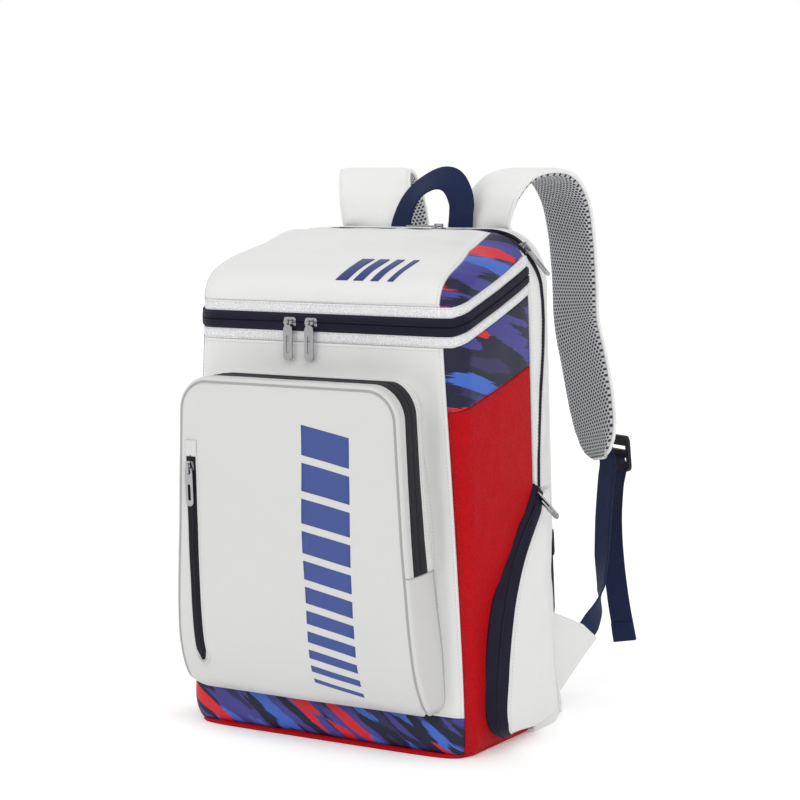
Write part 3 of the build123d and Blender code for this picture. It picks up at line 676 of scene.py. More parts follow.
FRONT = (-1, 1)
soft_front = [(90, 0.9, 3), (34, 0.35, 5)]
front_panel = Panel("front_panel_white", strip_surface(constant(38), mouth(-TRIM_EDGE), front_place), FRONT,
                    (0, 1), (60, 50), WHITE, "bag", "white_pu", crown=1.2, waves=soft_front,
                    replaces=["front_panel"])
Panel("print_band_front", strip_surface(constant(3.0), constant(38), front_place), FRONT, (0, 1), (60, 14),
      PRINT_FRONT, "bag", "print", seams="ABD", crown=0.6, waves=[(60, 0.5, 9)], replaces=["print_band"])
Panel("base_wrap_red", strip_surface(constant(0.3), constant(3.4)), (-3.0, 3.0), (0, 1), (130, 8), RED,
      "bag", "red_pu", seams="D", roll=0.8, replaces=["base_panel"])
Panel("base_floor_red", floor_face, (-1, 1), (-1, 1), (30, 16), RED, "bag", "red_pu", seams="",
      outward=(0, 0, -1))
sides, side_prints = {}, {}
for name, place in (("right", right_place), ("left", left_place)):
    sides[name] = Panel(f"side_red_{name}", strip_surface(constant(3.0), print_low, place), (0, 1), (0, 1),
                        (34, 60), RED, "bag", "red_pu", crown=1.5, waves=[(80, 0.8, 11), (30, 0.3, 12)],
                        replaces=[f"side_panel_{name}"], seams="ABD")
    side_prints[name] = Panel(f"side_print_{name}", strip_surface(print_low, mouth(-TRIM_EDGE), place),
                              (0, 1), (0, 1), (34, 16), PRINT_SIDE, "bag", "print", crown=0.8,
                              waves=[(60, 0.5, 14)], replaces=[f"side_print_{name}"])


def zip_ribs(u):
    """Height across one half of the mouth's zip: ribbed tape that rises to the cover of the coil."""
    return 0.28 * np.cos(u * 7 * math.pi) + 0.35 * np.exp(-(((u - 0.86) / 0.1) ** 2))


# reflective trim and the two halves of the mouth's zip
ALL = (-3.0, 3.0)
trim_low = Panel("mouth_trim_low", strip_surface(mouth(-TRIM_EDGE), mouth(-8)), ALL, (0, 1), (170, 8),
                 SILVER, "bag", "silver_trim", seams="CD", roll=1.0, crown=0.5, replaces=["mouth_trim"])
Panel("mouth_zip_low", strip_surface(mouth(-8.3), mouth(-0.15)), ALL, (0, 1), (170, 14), TAPE, "bag",
      "zip_tape", seams="C", roll=1.2, crown=0.8, replaces=["main_zip_lower"],
      extra=lambda P, ua, ub, d: 1.1 * smooth(ub / 0.3) + zip_ribs(ub))
trim_high = Panel("mouth_trim_high", strip_surface(mouth(8), mouth(TRIM_EDGE)), ALL, (0, 1), (170, 8),
                  SILVER, "lid", "silver_trim", seams="CD", roll=1.0, crown=0.5, replaces=["lid_trim"])
Panel("mouth_zip_high", strip_surface(mouth(0.15), mouth(8.3)), ALL, (0, 1), (170, 14), TAPE, "lid",
      "zip_tape", seams="D", roll=1.2, crown=0.8, replaces=["main_zip_upper"],
      extra=lambda P, ua, ub, d: 1.1 * smooth((1 - ub) / 0.3) + zip_ribs(1 - ub))


def coil(name, path, normals, body, radius=1.0, pitch=1.5, material=COIL):
    """A zip's coil: a bead with ribs."""
    length = np.sum(np.linalg.norm(np.diff(path, axis=0), axis=1))
    n = int(length / pitch) * 3
    path = resample(path, n)
    normals = unit(resample(normals, n))
    ribs = 1 - 0.22 * (np.arange(n) % 3 == 0)
    return sweep(name, path, normals, circle(radius, 6), material, body, "zip_tape", scale=ribs)


# --- lid -------------------------------------------------------------------------------------------
HOOD = spline([(-86, 404), (-85.6, 411), (-83, 420), (-77, 429), (-66, 437), (-40, 447.5), (0, 457.5),
               (37.6, TOP_Z)], 200)
AXIS_Y, AXIS_Z = 37.6, 405.0  # the lid's sections turn about this line, which runs along x
RIM_RISE, RIM_SLOPE = RISE * 118.4 / 118.7, 0.354  # the lid's lower rim, as it stands over that line
NARROWEST = 1.5  # least width of a printed side piece
hood_angle = np.arctan2(HOOD[:, 1] - AXIS_Z, AXIS_Y - HOOD[:, 0])
hood_reach = np.hypot(HOOD[:, 1] - AXIS_Z, AXIS_Y - HOOD[:, 0])
order = np.argsort(hood_angle)
hood_angle, hood_reach = hood_angle[order], hood_reach[order]


def hood_section(theta):
    """The right half of the lid's section at an angle about its axis, as (x, reach), from the middle out."""

    def height(reach):
        return AXIS_Z + reach * math.sin(theta)

    top = np.interp(theta, hood_angle, hood_reach)
    rim = RIM_RISE / (math.sin(theta) + RIM_SLOPE * math.cos(theta))
    bend = 22 + 13 * float(smooth(np.array(theta / 0.9)))
    wall = half_width(height(top - bend))
    flat = np.stack([np.linspace(0, wall - bend, 60), np.full(60, top)], axis=1)
    t = np.linspace(0, math.pi / 2, 60)[1:]
    arc = np.stack([wall - bend + bend * np.sin(t), top - bend + bend * np.cos(t)], axis=1)
    down = np.linspace(top - bend, min(rim, top - bend) - 0.01, 40)[1:]
    side = np.stack([np.array([half_width(height(v)) for v in down]), down], axis=1)
    path = np.vstack([flat, arc, side])
    keep = path[:, 1] >= rim
    if keep.all():
        return path
    last = int(np.argmin(keep))
    share = (path[last - 1, 1] - rim) / (path[last - 1, 1] - path[last, 1])
    return np.vstack([path[:last], path[last - 1] + (path[last] - path[last - 1]) * share])


THETAS = np.linspace(0, math.pi / 2, 90)
SECTIONS = [hood_section(t) for t in THETAS]


def lid_grid(ends, columns):
    """A grid over the lid between two positions of every section, each given as a function of the section."""
    rows = []
    for theta, section in zip(THETAS, SECTIONS):
        length = lengths(section)
        depth = AXIS_Y - section[:, 1] * math.cos(theta) - FRONT_Y
        edges = 123 - 0.135 * depth + 5 * np.sin(math.pi * np.clip(depth / 70, 0, 1)), 137 - 0.1 * depth
        cut, left_cut = (min(np.interp(0, section[:, 0] - edge, length), length[-1] - NARROWEST)
                         for edge in edges)
        low, high = ends(cut, left_cut, length[-1])
        s = low + (high - low) * columns
        side = np.where(s < 0, -1.0, 1.0)
        x = np.interp(np.abs(s), length, section[:, 0]) * side
        reach = np.interp(np.abs(s), length, section[:, 1])
        rows.append(np.stack([x, AXIS_Y - reach * math.cos(theta), AXIS_Z + reach * math.sin(theta)],
                             axis=1))
    return swell(np.array(rows))


def lid_surface(ends):
    table = lid_grid(ends, np.linspace(0, 1, 161))

    def f(a, b):
        a, b = paired(a, b)
        i = np.clip(a / (math.pi / 2) * (len(THETAS) - 1), 0, len(THETAS) - 1.0001)
        j = np.clip(b * 160, 0, 159.9999)
        i0, j0 = i.astype(int), j.astype(int)
        fi, fj = (i - i0)[..., None], (j - j0)[..., None]
        return (
            table[i0, j0] * (1 - fi) * (1 - fj) + table[i0 + 1, j0] * fi * (1 - fj)
            + table[i0, j0 + 1] * (1 - fi) * fj + table[i0 + 1, j0 + 1] * fi * fj
        )

    return f


LID_SPAN = (0, math.pi / 2)
lid_top = Panel("lid_top_white", lid_surface(lambda cut, left, end: (-left, cut)), LID_SPAN, (0, 1),
                (60, 70), WHITE, "lid", "white_pu", crown=1.0, waves=[(70, 0.8, 21), (28, 0.25, 22)],
                replaces=["lid_top"], thick=3.2)
for name, ends in (("right", lambda cut, left, end: (cut, end)),
                   ("left", lambda cut, left, end: (-end, -left))):
    Panel(f"lid_print_{name}_cloth", lid_surface(ends), LID_SPAN, (0, 1), (60, 22), PRINT_SIDE, "lid",
          "print", crown=0.8, waves=[(50, 0.5, 24)], replaces=[f"lid_print_{name}"], thick=3.2)

# --- racket compartment ----------------------------------------------------------------------------
lean = math.atan2(BASE_HALF - MOUTH_HALF, MOUTH_Z)
ARC_X = half_width(TOP_Z - SHOULDER) - SHOULDER / math.cos(lean)
ARC_Z = TOP_Z - SHOULDER
arc_t = np.linspace(-lean, math.pi / 2, 30)
arc = np.stack([ARC_X + SHOULDER * np.cos(arc_t), ARC_Z + SHOULDER * np.sin(arc_t)], axis=1)
half_hoop = np.vstack([[[BASE_HALF, 0]], arc])
HOOP = np.vstack([half_hoop, half_hoop[::-1] * [-1, 1]])
HOOP_S = lengths(HOOP)
HOOP_LENGTH = HOOP_S[-1]


def hoop(s, y):
    s, y = paired(s, y)
    return swell(stacked(np.interp(s, HOOP_S, HOOP[:, 0]), y, np.interp(s, HOOP_S, HOOP[:, 1])))


S_ARC = HOOP_S[1]  # where the straight side ends
S_ZIP = float(np.interp(228, [0, ARC_Z - 2], [0, S_ARC]))  # the zip's lower end
MOUTH_SPAN = (S_ARC + 36, HOOP_S[30] + 46)  # the open part of the racket zip, at the right shoulder


def zip_centre(s):
    """Depth of the racket zip's centre line: it wanders on the right side where the gusset is slack."""
    z = [228, 256, 283, 311, 338, 361, 384, 403, 422, 440]
    y = [53.5, 55.7, 60, 67.5, 75.5, 82, 85.5, 84.5, 78.5, 70]
    right = np.interp(np.interp(s, HOOP_S, HOOP[:, 1]), z, y)
    on_right = 1 - smooth((s - S_ARC - 20) / 60)
    return 68 + (right - 68) * on_right


def tape_half(s):
    """Visible half width of the racket zip: narrow down the sides, where the gussets close over it."""
    side = np.minimum(s, HOOP_LENGTH - s)
    wide = 5.8 + 3.0 * smooth((side - S_ARC - 5) / 60)
    return np.minimum(wide, BACK_Y - 0.2 - zip_centre(s))


def opening(s):
    """Half the gap between the two tapes."""
    t = np.clip((s - MOUTH_SPAN[0]) / (MOUTH_SPAN[1] - MOUTH_SPAN[0]), 0, 1)
    return 9.5 * np.sin(math.pi * t) ** 0.75


def between(low, high):
    def f(s, t):
        s = np.asarray(s, float)
        lo, hi = low(s), high(s)
        return hoop(s, lo + (hi - lo) * t)

    return f


UPPER = (S_ZIP, HOOP_LENGTH - S_ZIP)
slack = [(60, 1.5, 31, (1, 0.4, 1)), (26, 0.6, 32, (1, 0.5, 1))]


def at_divider(s):
    along = np.minimum(s, HOOP_LENGTH - s) - S_ARC
    return DIVIDER_Y + 0.3 + 3.0 * (1 - smooth((along + 40) / 60))


def at_back(s):
    return np.full_like(s, BACK_Y + 2.0)


def tape_edge(side, share, over):
    """Depth of a line on the front (-1) or rear (1) tape: share of its width from the middle, plus over."""
    return lambda s: zip_centre(s) + side * (share * tape_half(s) + over + opening(s))


def gusset(name, low, high):
    return Panel(f"racket_{name}_cloth", between(low, high), UPPER, (0, 1), (220, 10), WHITE, "bag",
                 "white_pu", seams="CD", roll=1.6, crown=1.2, waves=slack, replaces=[f"racket_{name}"])


def tape(name, low, high, **kw):
    return Panel(name, between(low, high), UPPER, (0, 1), (220, 6), TAPE_BLACK, "bag", "zip_tape",
                 seams="CD", roll=1.0, crown=0.4, thick=1.6, waves=[(60, 1.3, 31, (1, 0.4, 1))], **kw)


gusset_front = gusset("gusset_front", at_divider, tape_edge(-1, 1, 0))
gusset_rear = gusset("gusset_rear", tape_edge(1, 1, 0), at_back)
tape_front = tape("racket_tape_front", tape_edge(-1, 1, 0.4), tape_edge(-1, 0, 0.2), replaces=["racket_zip"])
tape_rear = tape("racket_tape_rear", tape_edge(1, 0, 0.2), tape_edge(1, 1, 0.4))
for tag, panel, edge in (("front", tape_front, "D"), ("rear", tape_rear, "C")):
    points, normals = panel.line(edge, 1.2)
    coil(f"racket_coil_{tag}", points + normals * 0.2, normals, "bag")
for name, span in (("right", (0.0, S_ZIP)), ("left", (HOOP_LENGTH - S_ZIP, HOOP_LENGTH))):
    Panel(f"rear_side_{name}_cloth", between(at_divider, at_back), span, (0, 1), (50, 14), WHITE, "bag",
          "white_pu", roll=1.6, crown=1.2, waves=[(70, 0.9, 33)])
Panel("rear_floor_cloth", lambda a, b: swell(stacked(a, b, 0.3 + 0 * a)), (-152.0, 152.0),
      (DIVIDER_Y, BACK_Y + 3.5), (30, 8), WHITE, "bag", "white_pu", seams="", outward=(0, 0, -1))
Panel("divider_cloth", lambda a, b: stacked(a * half_width(b), DIVIDER_Y + 1.5 + 0 * a, b), (-0.955, 0.955),
      (6.0, 452.0), (24, 40), LINING, "bag", "white_pu", seams="", outward=(0, -1, 0), thick=2,
      replaces=["divider_panel"])

# --- back panel ------------------------------------------------------------------------------------
def back_face(a, b):
    """The back panel's face: a across from -1 to 1, b up from 0 to 1."""
    a, b = paired(a, b)
    z = b * TOP_Z
    wide = half_width(z) - 1
    over = np.clip(z - ARC_Z, 0, SHOULDER)
    wide = np.where(z > ARC_Z, ARC_X + np.sqrt(np.clip(SHOULDER**2 - over**2, 1, None)) - 1, wide)
    return swell(stacked(a * wide, np.full_like(a, BACK_Y + 4.0), z))


Panel("back_panel_cloth", back_face, (-1, 1), (0, 1), (50, 60), WHITE, "bag", "white_pu", crown=1.0,
      roll=2.4, outward=(0, 1, 0), thick=3.8, waves=[(110, 0.5, 41)], replaces=["back_panel"])


def pad(name, centre, size, height, material, body, slot, channels=0, replaces=()):
    """A domed foam pad on the back panel with sewn channels."""

    def f(a, b):
        a, b = paired(a, b)
        x, z = superellipse(a, b)
        edge = np.clip(1 - np.maximum(np.abs(a), np.abs(b)), 0, 1)
        dome = (1 - (1 - np.clip(edge * 5, 0, 1)) ** 2.4) ** 0.6
        groove = np.zeros_like(a)
        for i in range(channels):
            at = -1 + 2 * (i + 1) / (channels + 1)
            groove += np.exp(-(((b - at) * size[1] / 2) / 3.2) ** 2)
        y = BACK_Y + 4.6 + height * dome * (1 - 0.45 * np.clip(groove, 0, 1))
        return stacked(centre[0] + x * size[0] / 2, y, centre[1] + z * size[1] / 2)

    def flat(base, normal):
        return stacked(base[..., 0], BACK_Y + 4.3, base[..., 2])

    made = Panel(name, f, (-1, 1), (-1, 1), (44, 80), material, body, slot, seams="", outward=(0, 1, 0),
                 inner=flat)
    if replaces:
        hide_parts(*replaces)
    return made


pad("back_pad_right", (70, 275), (104, 230), 10.5, MESH, "bag", "mesh", channels=3, replaces=["back_pads"])
pad("back_pad_left", (-70, 275), (104, 230), 10.5, MESH, "bag", "mesh", channels=3)
pad("back_pad_lumbar", (0, 90), (236, 104), 10.5, MESH, "bag", "mesh", channels=1)
pad("strap_yoke_cloth", (0, 424), (206, 48), 3.4, WHITE, "bag", "white_pu", replaces=["strap_yoke"])

# binding round the back panel's edge
edge_path = hoop(np.linspace(0, HOOP_LENGTH, 260), BACK_Y + 2.6)
sweep("back_piping", edge_path, edge_path - np.array([0, BACK_Y, 200.0]), circle(1.9, 10), WHITE, "bag",
      "white_pu")

# --- front pocket ----------------------------------------------------------------------------------
POCKET_LOW, POCKET_TOP, FOLD = 38.5, 338.5, 171.0
FACE = spline([(-84, 37), (-93, 38.5), (-107, 43), (-121, 56), (-133, 84), (-139, 120), (-142, 171),
               (-145, 250), (-147, 318), (-148, 341)], 300)


def face_y(z):
    return np.interp(z, FACE[:, 1], FACE[:, 0])


def pocket_side(z):
    return np.interp(z, [38, 60, 100, 150, 200, 341], [129.5, 130.5, 129.0, 126.0, 122.5, 116.0])


def pocket_half(z):
    straight = pocket_side(z)
    top, low = np.clip(z - (POCKET_TOP - 30), 0, 30), np.clip(POCKET_LOW + 16 - z, 0, 16)
    return straight - (30 - np.sqrt(900 - top**2)) - (16 - np.sqrt(256 - low**2))


rounded = POCKET_TOP - 30 + 30 * np.sin(np.linspace(0, math.pi / 2, 26))[1:]
outline_z = np.concatenate([np.linspace(POCKET_LOW + 0.4, POCKET_TOP - 30, 110), rounded])
right_outline = np.stack([pocket_half(outline_z), outline_z], axis=1)
# right foot, over the top, to the left foot
ARCH = resample(np.vstack([right_outline, right_outline[::-1] * [-1, 1]]), 420)
ARCH_S = lengths(ARCH)
ARCH_N = np.gradient(ARCH, axis=0)
ARCH_N = unit(np.stack([ARCH_N[:, 1], -ARCH_N[:, 0]], axis=1))  # outward in the front view
ARCH_LENGTH = ARCH_S[-1]
S_FOLD = float(np.interp(FOLD + 0.4, ARCH[:210, 1], ARCH_S[:210]))
EDGE = 5.0  # radius of the pocket's front edge
FLAP_Y = -128.7  # where the flap's side strip starts, at the front of the zip


def arch_z(s):
    return np.interp(s, ARCH_S, ARCH[:, 1])


def slant(s):
    """How far the pocket's right wall leans in towards its root."""
    across = np.interp(s, ARCH_S, ARCH_N[:, 0])
    return np.interp(arch_z(s), [40, 100, 140, 254, 345], [0, 2, 5, 11, 13]) * np.where(across > 0, across,
        -0.15 * across)


def arch_point(s, inset, y):
    front = face_y(arch_z(s))
    inset = inset + slant(s) * np.clip((y - front) / (FRONT_Y - front), 0, 1)
    x = np.interp(s, ARCH_S, ARCH[:, 0]) - np.interp(s, ARCH_S, ARCH_N[:, 0]) * inset
    z = np.interp(s, ARCH_S, ARCH[:, 1]) - np.interp(s, ARCH_S, ARCH_N[:, 1]) * inset
    return stacked(x, y, z)


def pocket_wall(low, high):
    """The wall between two depths."""

    def f(s, t):
        s, t = paired(s, t)
        return arch_point(s, 0 * s, low + (high - low) * t)

    return f


def pocket_front_strip(s, t):
    """From the zip forward, then round the front edge on to the face."""
    s, t = paired(s, t)
    front = face_y(arch_z(s))
    straight = np.clip(t / 0.6, 0, 1)
    turn = np.clip((t - 0.6) / 0.4, 0, 1) * math.radians(72)
    y = FLAP_Y + (front + EDGE - FLAP_Y) * straight - EDGE * np.sin(turn)
    return arch_point(s, EDGE * (1 - np.cos(turn)), y)


def lower_wall(s, t):
    s, t = paired(s, t)
    front = face_y(arch_z(s))
    edge = np.minimum(EDGE, (FRONT_Y - front) * 0.45)
    straight = np.clip(t / 0.7, 0, 1)
    turn = np.clip((t - 0.7) / 0.3, 0, 1) * math.radians(72)
    y = FRONT_Y + 1 + (front + edge - FRONT_Y - 1) * straight - edge * np.sin(turn)
    return arch_point(s, edge * (1 - np.cos(turn)), y)


def arch_ribs(base, ua, ub, d):
    """Ribs along the tape, and the groove over its coil."""
    return 0.5 * np.cos(ub * 6 * math.pi) ** 2 - 0.6 * np.exp(-(((ub - 0.5) * 30) / 1.2) ** 2)


ARCHED = (S_FOLD, ARCH_LENGTH - S_FOLD)
root_strip = Panel("pocket_root_strip", pocket_wall(FRONT_Y + 1, -99.4), ARCHED, (0, 1), (170, 7), WHITE,
                   "bag", "pocket_pu", seams="CD", roll=1.4, crown=0.8, waves=[(60, 0.5, 51)],
                   replaces=["front_pocket_base"])
Panel("pocket_zip_tape", pocket_wall(-99.2, -128.9), ARCHED, (0, 1), (170, 12), TAPE_BLACK, "bag",
      "zip_tape", seams="CD", roll=1.6, crown=0.6, extra=arch_ribs, replaces=["front_pocket_zip"])
front_strip = Panel("pocket_front_strip", pocket_front_strip, ARCHED, (0, 1), (170, 16), POCKET,
                    "pocket_flap", "pocket_pu", seams="CD", roll=1.2, crown=0.3, waves=[(60, 0.4, 52)],
                    replaces=["front_pocket_flap"])
for name, span in (("right", (0.0, S_FOLD - 0.5)), ("left", (ARCH_LENGTH - S_FOLD + 0.5, ARCH_LENGTH))):
    Panel(f"pocket_lower_wall_{name}", lower_wall, span, (0, 1), (50, 14), POCKET, "bag", "pocket_pu",
          seams="D", roll=1.2)
mid_s = np.linspace(*ARCHED, 400)
mid = arch_point(mid_s, 0.0, -114.0)
mid_n = stacked(np.interp(mid_s, ARCH_S, ARCH_N[:, 0]), 0.0, np.interp(mid_s, ARCH_S, ARCH_N[:, 1]))
coil("pocket_coil", mid + mid_n * 0.1, mid_n, "bag", radius=1.3)


def pocket_face(a, b):
    """The pocket's face inside its rounded edge: a across, b up."""
    a, b = paired(a, b)
    inset, bottom = 4.0, POCKET_LOW + 1.5
    z = bottom + (POCKET_TOP - inset - bottom) * b
    top, low = np.clip(z - (POCKET_TOP - 30), 0, 26), np.clip(POCKET_LOW + 14 - z, 0, 12.4)
    straight = pocket_side(z) - inset
    wide = straight - (26 - np.sqrt(np.clip(676 - top**2, 0, None))) - (13
        - np.sqrt(np.clip(169 - low**2, 0, None)))
    return stacked(a * wide, face_y(z) + 0.2, z)


pocket_face_panel = Panel("pocket_face_cloth", pocket_face, (-1, 1), (0, 1), (70, 90), POCKET, None,
                          "pocket_pu", roll=1.2, crown=2.2, waves=[(120, 1.0, 54), (45, 0.3, 55)],
                          outward=(0, -1, 0))
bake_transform(pocket_face_panel.object)

# a cord in the face's seam, its grey a painted shadow of the seam's groove
pipe_s = np.linspace(1.0, ARCH_LENGTH - 1.0, 420)
pipe_inset = np.minimum(4.2, (FRONT_Y - face_y(arch_z(pipe_s))) * 0.4)
pipe = arch_point(pipe_s, pipe_inset, face_y(arch_z(pipe_s)) + 0.5)
piping = sweep("pocket_piping", pipe, np.array([0, -1, 0]), circle(1.15, 8), SEAM_SHADOW_GREY, None, "pocket_pu")
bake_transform(piping)

# upright zip on the face
small_line = spline([(-103.5, 266), (-103.8, 225), (-104.2, 187), (-104.0, 160), (-103.2, 138),
                     (-102.4, 105), (-101.6, 74)], 120)


def on_face(x, z, panel):
    """Points on a finished panel over (x, z), each with its outward normal."""
    grid, normal = panel.outer.reshape(-1, 3), panel.normal.reshape(-1, 3)
    rows = []
    for px, pz in zip(np.atleast_1d(x), np.atleast_1d(z)):
        d = (grid[:, 0] - px) ** 2 + (grid[:, 2] - pz) ** 2
        near = np.argpartition(d, 12)[:12]
        weight = np.exp(-d[near] / (d[near].mean() + 0.5))
        offset = np.stack([np.ones(12), grid[near, 0] - px, grid[near, 2] - pz], axis=1) * weight[:, None]
        fit = np.linalg.solve(offset.T @ offset + np.diag([0, 1e-3, 1e-3]),
                              offset.T @ (grid[near, 1] * weight))
        rows.append([px, fit[0], pz, *unit(np.sum(normal[near] * weight[:, None], axis=0))])
    return np.array(rows)


on = on_face(small_line[:, 0], small_line[:, 1], pocket_face_panel)
for k in (1, 3, 4, 5):  # the depth and the normal are evened out along the zip
    extended = np.concatenate([np.full(4, on[0, k]), on[:, k], np.full(4, on[-1, k])])
    on[:, k] = np.convolve(extended, np.ones(9) / 9, "valid")
tape_path, tape_up = on[:, :3], unit(on[:, 3:])
small_tape = sweep("small_zip_tape", tape_path + tape_up * 0.35, tape_up, flat_oval(10.5, 1.4), TAPE_BLACK,
                   None, "zip_tape", scale=np.clip(np.minimum(np.linspace(0.9, 40, 120),
    np.linspace(14, 0.35, 120)), 0, 1))
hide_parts("small_zip_upper", "small_zip_lower")
small_coil = coil("small_zip_coil", tape_path + tape_up * 0.8, tape_up, None, radius=0.9)
across = unit(np.cross(unit(np.gradient(tape_path, axis=0)), tape_up))
WELT = 6.2  # the welt's distance from the middle of the zip
rim_line = np.vstack([tape_path + across * WELT, tape_path[-1:] + [[0, 0, -5]],
                      (tape_path - across * WELT)[::-1]])
rim_up = np.vstack([tape_up, tape_up[-1:], tape_up[::-1]])
small_rim = sweep("small_zip_welt", rim_line, rim_up, circle(1.0, 8, 0.8), POCKET, None, "pocket_pu")
patch_line = on_face([-103.5, -103.5], [265, 280], pocket_face_panel)
patch = sweep("small_zip_patch", resample(patch_line[:, :3] + patch_line[:, 3:] * 0.5, 10),
              patch_line[0, 3:], flat_oval(12.5, 1.4), POCKET, None, "pocket_pu")
for made in (small_tape, small_coil, small_rim, patch):
    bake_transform(made)

# --- side pockets ----------------------------------------------------------------------------------
CURVE = spline([(50, 226), (42, 211), (17, 191), (-8, 165), (-29, 130), (-42, 88), (-47, 55), (-46, 36),
                (-40, 23), (-30, 16)], 200)
ROOT = spline([(38, 236), (26, 220), (0, 193), (-30, 156), (-45, 131), (-55, 88), (-57, 54), (-54, 33),
               (-44, 19), (-28, 11)], 200)
BULGE_Z, BULGE = [5, 12, 28, 70, 120, 180, 236], [8, 13, 18, 19, 17.5, 13.5, 9]
POCKET_REAR = 91.0


def curve_y(z):
    order = np.argsort(CURVE[:, 1])
    return np.interp(z, CURVE[order, 1], CURVE[order, 0])


def bulge(y, z):
    full = np.interp(z, BULGE_Z, BULGE)
    away = np.clip((y + 45) / (POCKET_REAR + 45), 0, 1)
    return 1.2 + (full - 1.2) * (1 - away**1.7)


def pocket_low(y):
    """Lower edge of a side pocket: it rises round the rear corner of the bag."""
    return 15.5 - 5 * smooth((y + 25) / 60) + 8 * (1 - np.sqrt(np.clip(1
        - (np.clip(y - 66, 0, 26) / 27) ** 2, 0, 1)))


def on_side(sign, y, z, out, at=None):
    """Points moved outwards from a side of the bag, whose width is taken at the height z, or at another one."""
    base = swell(stacked(sign * half_width(z if at is None else at), y, z))
    return base + stacked(sign * out, 0, 0)


def side_pocket(sign):
    def face(a, b):
        a, b = paired(a, b)
        front = curve_y(16 + (226 - 16) * b)
        y = front + (POCKET_REAR - front) * a
        low = pocket_low(y)
        z = low + (226 - low) * b
        return on_side(sign, y, z, bulge(y, z))

    return face


def pocket_front_wall(sign):
    def wall(a, b):
        """The zip wall: a along the curve from bottom to top, b from the bag outwards."""
        a, b = paired(a, b)
        at = np.linspace(0, 1, 200)
        near = [np.interp(a, at, ROOT[::-1, k]) for k in (0, 1)]
        far = [np.interp(a, at, CURVE[::-1, k]) for k in (0, 1)]
        y, z = (near[k] + (far[k] - near[k]) * b for k in (0, 1))
        return on_side(sign, y, z, 0.3 + (bulge(*far) - 0.6) * np.sin(b * math.pi / 2) ** 0.9)

    return wall


side_panels = {}
for name, sign in (("right", 1), ("left", -1)):
    body = f"side_pocket_{name}"
    side_panels[name] = Panel(f"side_pocket_face_{name}", side_pocket(sign), (0, 1), (0, 1), (40, 60), WHITE,
                              body, "white_pu", roll=2.2, crown=2.4, waves=[(60, 1.0, 61), (24, 0.35, 62)],
                              outward=(sign, 0, 0), replaces=[f"side_pocket_panel_{name}"])

    def rear_wall(a, b, sign=sign):
        a, b = paired(a, b)
        z = 24 + 201 * a
        return on_side(sign, POCKET_REAR - 0.5, z, 0.2 + (bulge(POCKET_REAR, z) - 0.6) * b)

    def top_wall(a, b, sign=sign):
        a, b = paired(a, b)
        y = 50 + (POCKET_REAR - 1 - 50) * a
        return on_side(sign, y, 225.6, 0.2 + (bulge(y, 226) - 0.8) * b, 226.0)

    def low_wall(a, b, sign=sign):
        a, b = paired(a, b)
        y = -30 + (POCKET_REAR - 1 + 30) * a
        return on_side(sign, y, pocket_low(y) + 0.3, -3 + (bulge(y, 16) + 2.2) * b, 7.0)

    for part, surface, rows, outward in (("rear", rear_wall, 30, (0, 1, 0)),
                                         ("top", top_wall, 16, (0, 0, 1)),
                                         ("low", low_wall, 24, (0, 0, -1))):
        Panel(f"side_pocket_{part}_{name}", surface, (0, 1), (0, 1), (rows, 6), WHITE, body, "white_pu",
              seams="", outward=outward, thick=2)
    wall = Panel(f"side_pocket_zip_{name}_tape", pocket_front_wall(sign), (0, 1), (0, 1), (90, 14), TAPE,
                 "bag", "zip_tape", seams="CD", roll=1.2, crown=0.5, outward=(0, -1, 0.2), thick=2,
                 extra=lambda P, ua, ub, d: 0.9 * np.sin(ub * 6 * math.pi) ** 2,
                 replaces=[f"side_pocket_zip_{name}"])
    points, normals = wall.line("D", 11.0)
    coil(f"side_pocket_coil_{name}", points + normals * 0.2, normals, "bag", radius=0.9)
    edge = side_panels[name].line("A", 0.4)
    sweep(f"side_pocket_piping_{name}", edge[0], edge[1], circle(1.2, 8), WHITE, body, "white_pu")

# hidden zip at the right pocket's rear edge
hidden = []
for z in np.linspace(187, 106, 40):
    y = 81 + (187 - z) / 82 * 8
    side = swell(np.array([half_width(z), y, z]))
    hidden.append(side + [float(bulge(y, z)) + 1.6, 0, 0])
hidden = np.array(hidden)
cord = hidden[:14] + [1.6, 0, 0]
puller = sweep("hidden_zip_puller", resample(cord[:13], 16), np.array([1, 0.25, 0.1]), flat_oval(4.6, 2.6),
               BLACK, None, "black_plastic", scale=np.clip(np.minimum(np.linspace(0.5, 6, 16),
    np.linspace(6, 0.5, 16)), 0, 1), replaces=["hidden_pocket_puller"])
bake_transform(puller)
sweep("hidden_zip_tape", hidden, np.array([1, 0.25, 0.1]), flat_oval(5.5, 1.4), TAPE_BLACK,
      "side_pocket_right", "zip_tape", scale=np.clip(np.minimum(np.linspace(0.5, 9, 40),
    np.linspace(9, 0.5, 40)), 0, 1))

# --- straps, webbing, loop -------------------------------------------------------------------------
TURN = 26


def turned(degrees):
    return (math.cos(math.radians(degrees)), -math.sin(math.radians(degrees)), 0)


# (centre, direction across, width) from the root to the tip
STRAP = [
    ((58, 106, 424), turned(0), 70),
    ((58, 106, 452), turned(0), 70),
    ((58, 106, 471), turned(2), 70),
    ((61, 109, 483), turned(12), 70),
    ((68, 118, 502), turned(20), 70),
    ((77, 132, 518), turned(22), 70),
    ((88, 153, 524), turned(22), 70),
    ((97, 179, 519), turned(22), 70),
    ((101, 202, 496), turned(23), 70),
    ((102, 216, 460), turned(24), 69),
    ((103, 222, 418), turned(24), 68),
    ((106, 221, 374), turned(25), 68),
    ((118, 215, 334), turned(TURN), 70),
    ((131, 206, 294), turned(TURN), 68),
    ((137.5, 201.5, 272), turned(TURN), 62),
    ((140.5, 199.5, 257), turned(TURN), 51),
    ((142.5, 198.3, 247), turned(TURN), 35),
    ((143.5, 197.8, 242), turned(TURN), 16),
]


